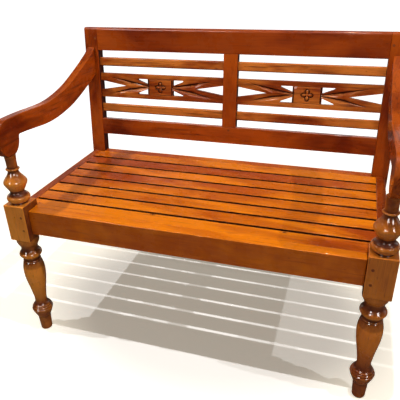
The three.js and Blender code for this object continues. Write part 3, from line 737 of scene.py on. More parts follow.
# Stations from the top of the block up
DISC_RADIUS = 24.5
DISC_TOP = 5
ROLL_FOOT = (23.5, 5)
ROLL_RADIUS = 33.2
ROLL_TOP = (25, 26)
SPOOL_FOOT = (27, 26)
SPOOL_TOP = (20, 39)
SPOOL_BAND = 41
BULB_FOOT = (22.3, 41)
BULB_BELLY = (33.3, 64.5)
BULB_TOP = (15.3, 96)
THIN_RING = ((15, 103), 19.5, (15, 109))
COLUMN_RADII = (15, 16.5)
COLUMN_FLARE = 16
# How far apart the points of a turning stand, the reach of the bell average that tells its hollows from its
# crowns, and how far from that average a mask is full
TURNING_STEP = 0.9
GROOVE_REACH = 5.0
GROOVE_DEPTH = 2.2
# How far the wood is darkened at each height from the floor, and from the top of the block: 0 leaves
# the wood as it is, 1 hides it
LOWER_DARKENING = (
    (0, 0.9), (40, 0.85), (56, 0.9), (60, 0.95), (72, 0.9), (86, 0.85), (91, 0.95), (95, 0.85), (98, 1.0),
    (101, 0.85), (107, 0.95), (117, 0.85), (130, 0.5), (155, 0.3), (185, 0.1), (235, 0.0), (250, 0.05),
    (256, 0.6), (266, 0.75), (274, 0.95), (283, 0.95), (288, 0.5), (297, 0.15), (302, 0.45), (308, 0.85),
    (320, 1.0), (332, 0.9), (345, 0.7), (353, 0.4), (359, 0.5),
)
UPPER_DARKENING = (
    (-2, 0.9), (5, 1.0), (9, 0.55), (14, 0.15), (21, 0.2), (25, 0.8), (27, 1.0), (41, 1.0), (46, 0.6),
    (56, 0.2), (65, 0.0), (74, 0.15), (84, 0.5), (96, 0.8), (103, 0.85), (106, 0.6), (110, 0.85),
    (125, 0.85), (146, 0.85),
)
# Painted shade: how much darker the side of a turning that faces its fellow is made
PAINTED_INNER_SHADE = 0.35


def half_round(low, widest, high, count=24):
    """A bead between two stations: a half ellipse on their radius, the widest radius in its middle."""
    (r0, z0), (r1, z1) = low, high
    t = np.linspace(0, 1, count)
    swell = np.sqrt(np.clip(1 - (2 * t - 1) ** 2, 0, 1))
    radius = r0 + (r1 - r0) * t + (widest - (r0 + r1) / 2) * swell
    return np.stack([np.minimum(radius, widest), z0 + (z1 - z0) * t], axis=-1)


def stretch(low, high, shares):
    """Points between two stations: shares of the climb and of the change in radius."""
    (r0, z0), (r1, z1) = low, high
    up, out = np.array(shares).T
    return np.stack([r0 + (r1 - r0) * out, z0 + (z1 - z0) * up], axis=-1)


def ogee(low, high, count=24):
    """An ogee between two stations: (1 - cos(pi t)) / 2 of the change in radius at a share t of the way."""
    (r0, z0), (r1, z1) = low, high
    t = np.linspace(0, 1, count)
    return np.stack([r0 + (r1 - r0) * (1 - np.cos(math.pi * t)) / 2, z0 + (z1 - z0) * t], axis=-1)


def lower_profile(block_bottom):
    """Radius and height of the turning from floor to block: foot, ring, baluster, collar and cap."""
    cap = block_bottom - CAP_BAND
    neck = cap - CAP_LENGTH
    collar = neck - NECK_LENGTH
    throat = collar - COLLAR_LENGTH
    bead = throat - THROAT_LENGTH
    bead_foot = (BEAD_FOOT_RADIUS, bead - BEAD_LENGTH)
    belly = (BELLY_RADIUS, bead - BEAD_LENGTH - SHOULDER_LENGTH)
    widest = (COLLAR_RADIUS, throat + COLLAR_LENGTH / 2)
    ease = np.linspace(-math.pi / 2, 0, 8)
    inner = FOOT_RADIUS - FOOT_ROUND
    foot = np.stack([inner + FOOT_ROUND * np.cos(ease), FOOT_ROUND + FOOT_ROUND * np.sin(ease)], axis=-1)
    ring = smooth_curve(np.vstack([
        stretch(RING_FOOT, RING_BELLY, [(0, 0), (0.33, 0.39), (0.72, 0.79), (1, 1)]),
        stretch(RING_BELLY, RING_TOP, [(0.5, 0.25), (1, 1)]),
    ]), 40)
    cove = smooth_curve(stretch(STEP_TOP, COVE_TOP, [(0, 0), (0.2, 0.32), (0.52, 0.72), (1, 1)]), 14)
    rise = [(0, 0), (0.1, 0.014), (0.374, 0.31), (0.58, 0.6), (0.79, 0.88), (1, 1)]
    shoulder = [(0.39, 0.093), (0.585, 0.267), (0.78, 0.48), (0.92, 0.72), (1, 1)]
    baluster = np.vstack([stretch(BALUSTER_FOOT, belly, rise), stretch(belly, bead_foot, shoulder)])
    return np.vstack([
        foot,
        [ANKLE],
        ring,
        half_round(RING_TOP, LIP_RADIUS, LIP_TOP, 12),
        half_round(LIP_TOP, STEP_RADIUS, STEP_TOP, 12),
        cove,
        smooth_curve(baluster, 80),
        half_round(bead_foot, BEAD_RADIUS, (THROAT_RADIUS, bead), 12),
        ogee((THROAT_RADIUS, throat), widest),
        ogee(widest, (NECK_RADIUS, collar)),
        ogee((NECK_RADIUS, neck), (CAP_RADIUS, cap)),
        [(CAP_RADIUS, block_bottom + SUNK)],
    ])


def upper_profile(block_top, column_top):
    """Radius and height of the turning from block to arm: roll, spool, bulb, thin ring and column."""
    spool = stretch(SPOOL_FOOT, SPOOL_TOP, [(0, 0), (0.25, 0.5), (0.55, 0.86), (1, 1)])
    fall = [(0.19, 0.084), (0.444, 0.37), (0.62, 0.612), (0.81, 0.826), (1, 1)]
    bulb = np.vstack([
        stretch(BULB_FOOT, BULB_BELLY, [(0, 0), (0.37, 0.407), (0.7, 0.79), (1, 1)]),
        stretch(BULB_BELLY, BULB_TOP, fall),
    ])
    top = column_top - block_top
    radii, heights = np.linspace(*COLUMN_RADII, 8), np.linspace(top - COLUMN_FLARE, top, 8)
    column = np.stack([radii, heights], axis=-1)
    rise = np.vstack([
        [(DISC_RADIUS, -SUNK), (DISC_RADIUS, DISC_TOP)],
        half_round(ROLL_FOOT, ROLL_RADIUS, ROLL_TOP),
        smooth_curve(spool, 16),
        [(SPOOL_TOP[0], SPOOL_BAND)],
        smooth_curve(bulb, 80),
        half_round(*THIN_RING, 14),
        column,
    ])
    return rise + [0, block_top]


def hollows_and_crowns(profile):
    """Masks of how far each point of a turning lies below its surroundings, and of how far above them.

    The surroundings are a bell average of the radius by height. Each mask is the difference over the groove
    depth, cut off at 0 and 1.
    """
    radius, height = profile.T
    weights = np.exp(-0.5 * ((height[:, None] - height[None, :]) / GROOVE_REACH) ** 2)
    step = np.abs(np.gradient(height)) + 0.05
    weights = weights * step[None, :]
    around = (weights * radius[None, :]).sum(1) / weights.sum(1)
    below = (around - radius) / GROOVE_DEPTH
    return np.clip(below, 0, 1), np.clip(-below, 0, 1)


def turning(name, profile, polish_and_shade, centre, inward, segments, material, node):
    """Spins a profile about an upright axis, with its masks: stain and painted shade in the hollows, rubbed
    crowns, and the darkening table.

    At an angle a from the inward side (1 - darkening)(1 - shade * max(0, cos a)) of the wood's colour is
    left; the second factor is a painted shade on the inner side.
    """
    length = np.concatenate([[0], np.cumsum(np.linalg.norm(np.diff(profile, axis=0), axis=1))])
    places = np.linspace(0, length[-1], int(length[-1] / TURNING_STEP))
    places = np.union1d(places, length)
    fine = np.stack([np.interp(places, length, profile[:, k]) for k in (0, 1)], axis=-1)
    hollow, crown = hollows_and_crowns(fine)
    turn = np.linspace(0, 2 * math.pi, segments, endpoint=False)
    radius = fine[:, :1] * MM
    x = centre[0] + radius * np.cos(turn)
    y = centre[1] + radius * np.sin(turn)
    z = np.broadcast_to(fine[:, 1:] * MM, x.shape)
    points = np.stack([x, y, z], axis=-1).reshape(-1, 3)
    heights, depths = np.array(polish_and_shade).T
    held = np.interp(fine[:, 1], heights, depths)
    # The second factor is painted shade on the side that faces the other leg
    bare = (1 - held[:, None]) * (1 - PAINTED_INNER_SHADE * np.clip(inward * np.cos(turn), 0, 1))
    masks = {
        # Stain and painted shade in the hollows; the crowns are rubbed light
        "stain_and_shade": np.repeat(hollow, segments),
        "edge": np.repeat(crown, segments),
        "polish_and_shade": (1 - bare).reshape(-1),
    }
    piece_from(name, points, ring_faces(len(fine), segments), material, node, masks)


class BENCH_OT_turn_legs(bpy.types.Operator):
    """Turn the two front legs: foot, ringed ankle, baluster, collar, square block, bulb and column"""

    bl_idname = "bench.turn_legs"
    bl_label = "Turn front legs"

    # Tone of each leg's wood, share of its bare wood that stays bare above the block, polish of its block
    finishes = {"left": (-0.35, 1.0, 0.0), "right": (0.14, 0.6, 0.3)}

    def execute(self, context):
        shape = context.scene.bench_shape
        half, arris = BLOCK_HALF * MM, shape.block_arris
        block_top = SEAT_TOP / MM + BLOCK_PROUD
        block_bottom = block_top - BLOCK_HEIGHT
        for index, (side, sign) in enumerate(SIDES.items()):
            node = f"front_leg_{side}"
            low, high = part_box(node)
            x, y = (low.x + high.x) / 2, (low.y + high.y) / 2
            tone, bare, shown = self.finishes[side]
            shift = log_shift("leg", index)
            material = wood(context, f"turned_wood_{side}", "turned", ALONG_Z, shift, tone, contrast=0.4)
            lower = lower_profile(block_bottom)
            upper = upper_profile(block_top, high.z / MM)
            raised = [(height + block_top, 1 - (1 - depth) * bare) for height, depth in UPPER_DARKENING]
            for name, profile, polish_and_shade in (("baluster", lower, LOWER_DARKENING), ("bulb", upper, raised)):
                turning(f"{node}_{name}", profile, polish_and_shade, (x, y), -sign, shape.segments, material, node)
            section, edge = rounded_section((x - half, y - half), (x + half, y + half), [arris] * 4)
            points, faces, edges = bar(section, edge, block_bottom * MM, block_top * MM, arris)
            points = turned_axis(points, "Z")
            # Painted shade on the block's face towards the bench's middle: dark polish, some stain and no
            # rubbed arris
            inward = sign * (x - points[:, 0]) / half
            painted_shade_face = (inward > 0.99).astype(float)
            masks = {
                "edge": edges * (1 - painted_shade_face),
                "polish_and_shade": np.maximum(painted_shade_face, shown),
                "stain_and_shade": 0.3 * painted_shade_face,
            }
            piece_from(f"{node}_block", points, faces, material, node, masks)
        return {"FINISHED"}


# Arms and posts, sawn to an outline

# The knuckle of an arm: half its length, its reach below and above its middle, how much is off its foot
KNUCKLE_HALF = 43 * MM
KNUCKLE_BELOW = 50 * MM
KNUCKLE_ABOVE = 56 * MM
KNUCKLE_FLAT = 3 * MM
# The top edge: its lowest place above the knuckle's middle, then shares of its run and of its climb
DIP_ABOVE = 50 * MM
ARM_TOP_SHARES = (
    (0.06, 0.055), (0.16, 0.042), (0.25, 0.018), (0.32, 0), (0.39, 0), (0.453, 0.028), (0.521, 0.083),
    (0.601, 0.17), (0.666, 0.27), (0.732, 0.39), (0.785, 0.495), (0.835, 0.596), (0.89, 0.716),
    (0.941, 0.835), (1, 1),
)
# The board's depth behind the knuckle, how much it deepens by the post, and where in the run that starts
ARM_DEPTH = 53
ARM_DEEPENS = 23
DEEPENS_FROM = 0.05
# How near the post and the foot the outline keeps its corners
CORNER_AT_POST = 25 * MM
CORNER_AT_FOOT = 6 * MM
# A back post: its depth above the seat and at the floor, how far its foot is swept back, the power of that
# curve, the share of its leg that is straight, and the radius on its top, which is the crest rail's
POST_DEPTH = 36 * MM
POST_FOOT_DEPTH = 34 * MM
POST_SWEEP = 28 * MM
POST_CURVE = 1.3
POST_STRAIGHT = 0.35
TOP_ROUND = 9 * MM
# How far apart the points of the outlines stand
ARM_SPACING = 2 * MM
POST_SPACING = 12 * MM


def post_face(z):
    """Y of the raked posts' front face at a height, less the gap of the joint."""
    return POST_FRONT + (z - SEAT_TOP) * math.tan(RAKE) - JOINT_GAP / math.cos(RAKE)


def arm_outline(low, high):
    """Outline of an arm in Y and Z: a knuckle of half ellipses, a dipped top edge and a deepening board."""
    nose = low.y + KNUCKLE_HALF
    middle = low.z - KNUCKLE_FLAT + KNUCKLE_BELOW
    dip = middle + DIP_ABOVE
    run = post_face(high.z) - nose
    along, up = np.array(ARM_TOP_SHARES).T
    edge = np.stack([nose + along * run, dip + up * (high.z - dip)], axis=-1)
    top = smooth_curve(edge, 160)
    ahead = np.gradient(top, axis=0)
    ahead /= np.linalg.norm(ahead, axis=1, keepdims=True)
    share = np.clip(((top[:, 0] - nose) / run - DEEPENS_FROM) / (1 - DEEPENS_FROM), 0, 1)
    depth = (ARM_DEPTH + ARM_DEEPENS * share)[:, None] * MM
    under = top + np.stack([ahead[:, 1], -ahead[:, 0]], axis=-1) * depth
    clear = (under[:, 0] > nose + KNUCKLE_HALF) & (under[:, 0] < post_face(under[:, 1]) - ARM_SPACING)
    under = under[clear]
    slope = (under[-1, 1] - under[-2, 1]) / (under[-1, 0] - under[-2, 0])
    reach = (post_face(under[-1, 1]) - under[-1, 0]) / (1 - slope * math.tan(RAKE))
    corner = under[-1] + [reach, reach * slope]
    flat = math.asin((KNUCKLE_BELOW - KNUCKLE_FLAT) / KNUCKLE_BELOW)
    turn = np.linspace(0, 1, 24)
    fall = flat * turn
    back = np.stack([nose + KNUCKLE_HALF * np.cos(fall), middle - KNUCKLE_BELOW * np.sin(fall)], axis=-1)
    front = np.stack([2 * nose - back[::-1, 0], back[::-1, 1]], axis=-1)
    rise = math.pi / 2 * turn[1:-1]
    crown = np.stack([nose - KNUCKLE_HALF * np.cos(rise), middle + KNUCKLE_ABOVE * np.sin(rise)], axis=-1)
    outline = resampled(np.vstack([top, [corner], under[::-1], back, front, crown]), ARM_SPACING)
    from_post = np.clip((post_face(outline[:, 1]) - outline[:, 0]) / CORNER_AT_POST, 0, 1)[:, None]
    from_foot = np.clip((outline[:, 1] - low.z) / CORNER_AT_FOOT, 0, 1)[:, None]
    soft = from_post * from_foot
    return outline * (1 - soft) + softened(outline, 2) * soft


def post_outline():
    """Outline of a back post in Y and Z: swept to the floor below the seat, raked above it, round on top.

    At a height z below the knee the front edge is swept back by the post's sweep times (1 - z / knee) to the
    power of its curve.
    """
    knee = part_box("back_seat_rail")[0].z
    z = np.concatenate([[0.0], np.linspace(POST_STRAIGHT * knee, knee, 16)])
    swept_back = POST_FRONT + POST_SWEEP * (1 - z / knee) ** POST_CURVE
    depths = POST_FOOT_DEPTH + (POST_DEPTH / math.cos(RAKE) - POST_FOOT_DEPTH) * z / knee
    turn = np.linspace(0, math.pi / 2, 7)
    height = unraked_box("crest_rail", TOP_ROUND)[1][2]
    flat, inner = 0 * turn, height - TOP_ROUND
    back_top = np.stack(
        [flat, POST_DEPTH - TOP_ROUND + TOP_ROUND * np.cos(turn), inner + TOP_ROUND * np.sin(turn)], axis=-1
    )
    front_top = np.stack(
        [flat, TOP_ROUND - TOP_ROUND * np.sin(turn), inner + TOP_ROUND * np.cos(turn)], axis=-1
    )
    back = raked(np.vstack([[[0, POST_DEPTH, 0]], back_top, front_top, [[0, 0, 0]]]))[:, 1:]
    rear = np.stack([swept_back + depths, z], axis=-1)
    front = np.stack([swept_back, z], axis=-1)[::-1]
    return resampled_corners(np.vstack([rear, back, front]), POST_SPACING)


def resampled_corners(outline, spacing):
    """An outline with every long side divided evenly, its own corners kept."""
    following = np.roll(outline, -1, axis=0)
    parts = []
    for a, b in zip(outline, following):
        count = max(1, int(np.linalg.norm(b - a) / spacing))
        parts.append(a + (b - a) * np.linspace(0, 1, count, endpoint=False)[:, None])
    return np.vstack(parts)


class BENCH_OT_saw_arms(bpy.types.Operator):
    """Saw the two arms to their curve and round their arrises"""

    bl_idname = "bench.saw_arms"
    bl_label = "Saw arms"

    def execute(self, context):
        easing = context.scene.bench_shape.arm_arris
        for index, side in enumerate(SIDES):
            node = f"arm_{side}"
            low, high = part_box(node)
            points, faces, edge = plate(arm_outline(low, high), low.x, high.x, easing)
            shift = log_shift("arm", index)
            material = wood(context, f"arm_wood_{side}", "frame", ALONG_Y, shift, tone=-0.15, contrast=1.4)
            piece_from(f"{node}_sawn", points, faces, material, node, {"edge": edge})
        return {"FINISHED"}


class BENCH_OT_saw_posts(bpy.types.Operator):
    """Saw the two back posts with their swept legs"""

    bl_idname = "bench.saw_posts"
    bl_label = "Saw back posts"

    # Heights in millimetres with the tone added there
    sweep = ((0, 0.3), (430, 0.0), (500, -0.45), (590, -0.4), (660, 0.2), (780, 0.15), (900, 0.0))

    def execute(self, context):
        easing = context.scene.bench_shape.arris
        for index, (side, sign) in enumerate(SIDES.items()):
            node = f"back_post_{side}"
            low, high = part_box(node)
            points, faces, edge = plate(post_outline(), low.x, high.x, easing)
            material = wood(
                context, f"post_wood_{side}", "frame", ALONG_Z, log_shift("post", index), tone=0.0,
                contrast=0.8, sweep=self.sweep, way="Z",
            )
            inner = high.x if sign < 0 else low.x
            # Painted shade on the post's inner face: dark polish, a little stain and no rubbed arris
            painted_shade_face = (np.abs(points[:, 0] - inner) < FACE_DEPTH).astype(float)
            masks = {"edge": edge * (1 - painted_shade_face), "polish_and_shade": painted_shade_face, "stain_and_shade": 0.15 * painted_shade_face}
            piece_from(f"{node}_sawn", points, faces, material, node, masks)
        return {"FINISHED"}


# Planed boards


def planed(node, material, radii, easing, axis="X", marks=None):
    """A board that fills its node's box, with rounded arrises and eased ends.

    Its radii go round the section from the low-low corner. Marks gives further masks from the points.
    """
    low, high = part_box(node)
    order = {"X": (0, 1, 2), "Y": (1, 0, 2)}[axis]
    lows, highs = [low[k] for k in order], [high[k] for k in order]
    section, edge = rounded_section(lows[1:], highs[1:], radii)
    points, faces, edges = bar(section, edge, lows[0], highs[0], easing)
    points = turned_axis(points, axis)
    masks = {"edge": edges, **(marks(points) if marks else {})}
    piece_from(f"{node}_planed", points, faces, material, node, masks)


class BENCH_OT_plane_seat(bpy.types.Operator):
    """Plane the seat: front, side and back rails, and the eight slats"""

    bl_idname = "bench.plane_seat"
    bl_label = "Plane seat"

    # Tone of each slat, then places along it in millimetres with the tone added there, then its knots
    slats = (
        (-0.4, ((-500, 0.1), (-200, -0.05), (60, 0.0), (200, 0.15), (290, 0.3), (350, 0.6), (500, 0.4)),
         (((-110, -202, 457), 5.0), ((17, -196, 457), 3.5), ((265, -204, 457), 4.5))),
        (-0.3, ((-500, 0.1), (-300, -0.15), (-50, -0.05), (60, 0.5), (160, 0.55), (250, 0.15), (350, 0.2),
                (500, 0.6)),
         (((-330, -140, 457), 4.0),)),
        (-0.3, ((-500, 0.1), (-220, -0.1), (-150, 0.45), (-40, 0.5), (30, 0.0), (500, 0.0)), ()),
        (0.05, ((-500, 0.1), (-330, 0.2), (-150, -0.1), (250, -0.1), (350, 0.25), (500, 0.4)), ()),
        (0.0, ((-500, 0.1), (-350, 0.45), (-200, 0.15), (130, 0.0), (250, -0.45), (350, -0.35), (500, -0.1)),
         ()),
        (-0.25, ((-500, 0.1), (-150, 0.2), (100, 0.1), (300, -0.15), (500, -0.1)), ()),
        (0.65, ((-500, 0.2), (0, 0.05), (180, 0.1), (300, -0.2), (500, -0.25)), ()),
        (-0.25, ((-500, 0.25), (-250, 0.1), (100, 0.0), (250, -0.2), (500, -0.1)), ()),
    )

    # Contrast of the figure in the slats and in the front and back rails, and the rails' places and tones
    contrast = 0.75
    rail_sweep = ((-500, 0.4), (-250, 0.15), (0, -0.05), (200, -0.05), (400, 0.25), (500, 0.4))

    def execute(self, context):
        shape = context.scene.bench_shape
        arris, top = shape.arris, shape.slat_arris
        for number, (tone, sweep, knots) in enumerate(self.slats, 1):
            node = f"seat_slat_{number}"
            shift = log_shift("seat_slat", number)
            material = wood(
                context, f"{node}_wood", "seat", ALONG_X, shift, tone, self.contrast, sweep, knots
            )
            if number == 1:
                self.notched(node, material, top)
            else:
                planed(node, material, [0.0, 0.0, top, top], arris / 2, marks=self.painted_gap_shade)
        self.rail(context, "front", -0.4, [arris, arris, 0.0, arris], polish_and_shade=0.55)
        self.rail(context, "back", 0.1, [arris, arris, arris, 0.0], polish_and_shade=0.5)
        for index, side in enumerate(SIDES):
            node = f"side_seat_rail_{side}"
            shift = log_shift("side_rail", index)
            material = wood(context, f"{node}_wood", "frame", ALONG_Y, shift, tone=-0.1, contrast=1.0)
            planed(node, material, [arris] * 4, arris / 2, "Y")
        return {"FINISHED"}

    def rail(self, context, place, tone, radii, polish_and_shade):
        """A rail as bright as the slats on its top and polished red-brown below it."""
        node = f"{place}_seat_rail"
        shift = log_shift(f"{place}_rail")
        material = wood(
            context, f"{node}_wood", "seat", ALONG_X, shift, tone, self.contrast, self.rail_sweep,
            instead={"Dark": context.scene.bench_colours.rail_dark},
        )
        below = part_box(node)[1].z - 1 * MM
        planed(node, material, radii, context.scene.bench_shape.arris,
               marks=lambda points: {"polish_and_shade": np.where(points[:, 2] < below, polish_and_shade, 0.0)})

    def painted_gap_shade(self, points):
        """Painted shade in the gaps, on the sides of a slat: none down to 0.7 mm below its top,
        full 0.8 mm further down.
        """
        return {"stain_and_shade": np.clip((SEAT_TOP - 0.7 * MM - points[:, 2]) / (0.8 * MM), 0, 1)}

    def notched(self, node, material, top):
        """The first slat: its middle lies between the leg blocks, and its back strip runs on behind them."""
        low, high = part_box(node)
        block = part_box("front_leg_right")
        inner = (block[0].x + block[1].x) / 2 - BLOCK_HALF * MM - JOINT_GAP
        behind = (block[0].y + block[1].y) / 2 + BLOCK_HALF * MM + JOINT_GAP
        front, edge = rounded_section((low.y, low.z), (high.y, high.z), [0.0, 0.0, top, 0.0])
        points, faces, edges = bar(front, edge, -inner, inner, 1 * MM)
        masks = {"edge": edges * (points[:, 1] > behind), **self.painted_gap_shade(points)}
        piece_from(f"{node}_planed", points, faces, material, node, masks)
        back, edge = rounded_section((behind, low.z), (high.y, high.z), [0.0, 0.0, top, 0.0])
        for side, start, end in (("left", low.x, -inner), ("right", inner, high.x)):
            points, faces, edges = bar(back, edge, start, end, 0.5 * MM)
            masks = {"edge": edges * 0.3, **self.painted_gap_shade(points)}
            piece_from(f"{node}_tongue_{side}", points, faces, material, node, masks)


class BENCH_OT_plane_back(bpy.types.Operator):
    """Plane the back: crest rail, lower rail, centre stile and the four thin slats"""

    bl_idname = "bench.plane_back"
    bl_label = "Plane back"

    # Places along X in millimetres with the tone added there
    sweeps = {
        "crest_rail": ((-500, -0.5), (-420, -0.2), (-330, 0.05), (0, 0.05), (300, -0.1), (500, 0.0)),
        "lower_rail": ((-500, 0.5), (-400, 0.45), (-300, -0.2), (0, -0.3), (250, -0.1), (330, 0.1),
                       (390, 0.6), (430, 0.3), (500, 0.45)),
        "lower": ((-490, 0.3), (-440, -0.45), (-330, 0.15), (-150, 0.1), (-70, -0.5), (60, -0.4),
                  (200, 0.15), (330, 0.15), (420, -0.4), (490, 0.2)),
        "upper": ((-490, 0.2), (-410, -0.35), (-280, -0.3), (-150, 0.1), (-40, 0.2), (150, -0.3),
                  (300, 0.15), (430, -0.3), (490, 0.1)),
    }

    def execute(self, context):
        shape = context.scene.bench_shape
        arris, crest, thin = shape.arris, shape.crest_round, shape.back_slat_arris
        for node, kind, tone, contrast, radii, corner in (
            ("crest_rail", "crest_rail", 0.3, 0.55, [arris, arris, crest, crest], crest),
            ("lower_back_rail", "lower_rail", -0.05, 0.8, [arris] * 4, arris),
        ):
            material = wood(
                context, f"{node}_wood", "frame", ALONG_X, log_shift(kind), tone, contrast, self.sweeps[kind]
            )
            self.board(node, material, radii, corner)
        for number, level in enumerate(("lower", "upper")):
            for index, side in enumerate(SIDES):
                node = f"{level}_back_slat_{side}"
                shift = log_shift("back_slat", 2 * number + index)
                tone = -0.18 + 0.1 * index
                material = wood(
                    context, f"{node}_wood", "carved", ALONG_X, shift, tone, 1.4, self.sweeps[level]
                )
                # Painted shade on the lower arrises and a painted highlight on the upper ones
                self.board(node, material, [thin] * 4, thin, dark=0.9)
        self.stile(context, "centre_stile", arris)
        return {"FINISHED"}

    def board(self, node, material, radii, corner, dark=0.0):
        """A raked board along X in its node's leaning box, its arrises rubbed light.

        Dark is painted shade on the lower arrises, and the light left on the upper ones is then a painted
        highlight; at 0 all four are rubbed.
        """
        low, high = unraked_box(node, corner)
        section, edge = rounded_section((low[1], low[2]), (high[1], high[2]), radii)
        points, faces, edges = bar(section, edge, low[0], high[0], 0.6 * MM)
        below = points[:, 2] < (low[2] + high[2]) / 2
        # Where dark is set: painted highlight above the middle, painted shade below it
        masks = {"edge": edges * ((dark == 0) | ~below), "polish_and_shade": edges * dark * below}
        piece_from(f"{node}_planed", raked(points), faces, material, node, masks)

    def stile(self, context, node, arris):
        """The raked stile between the rails, its sides darkened with painted shade."""
        low, high = unraked_box(node)
        section, edge = rounded_section((low[0], low[1]), (high[0], high[1]), [arris] * 4)
        points, faces, edges = bar(section, edge, low[2], high[2], 0.5 * MM)
        points = turned_axis(points, "Z")
        sides = np.minimum(points[:, 0] - low[0], high[0] - points[:, 0])
        # Painted shade on both sides: dark polish, some stain and no rubbed arris
        painted_shade_face = (sides < FACE_DEPTH).astype(float)
        masks = {"edge": edges * (1 - painted_shade_face), "polish_and_shade": painted_shade_face, "stain_and_shade": 0.3 * painted_shade_face}
        shift = log_shift("stile")
        material = wood(context, f"{node}_wood", "frame", ALONG_Z, shift, tone=-0.2, contrast=0.6)
        piece_from(f"{node}_planed", raked(points), faces, material, node, masks)


# Carved splats and their flowers, and the pegs

# Edges of a splat sharper than this keep their crease in the light, and sharper than the other are eased
CARVED_CREASE = math.radians(35)
EASED_EDGE = math.radians(50)
CARVED_EASING = 0.5 * MM
# How deep the flower's middle lies
FLOWER_BED = 5 * MM
# A petal: where it starts, its length, its half width and its height
PETAL_START = 3 * MM
PETAL_LENGTH = 15 * MM
PETAL_HALF = 6.0 * MM
PETAL_HEIGHT = 4.8 * MM
BOSS_RADIUS = 4.7 * MM
BOSS_HEIGHT = 4.9 * MM
# Points round a petal, the boss and a peg
PETAL_SIDES = 24
PEG_SIDES = 32
# A peg in millimetres: the radius of its dome, how far its middle stands out and how much less its rim does,
# then the radii of the dark ring and the shank with how far they stand out, and the ring's stain
PEG_RADIUS = 3.3
PEG_MIDDLE = 0.45
PEG_FALL = 0.25
PEG_RING = (3.6, 3.9, 3.9)
RING_PROUD = (0.05, 0.03, -2.0)
RING_STAIN = 0.45


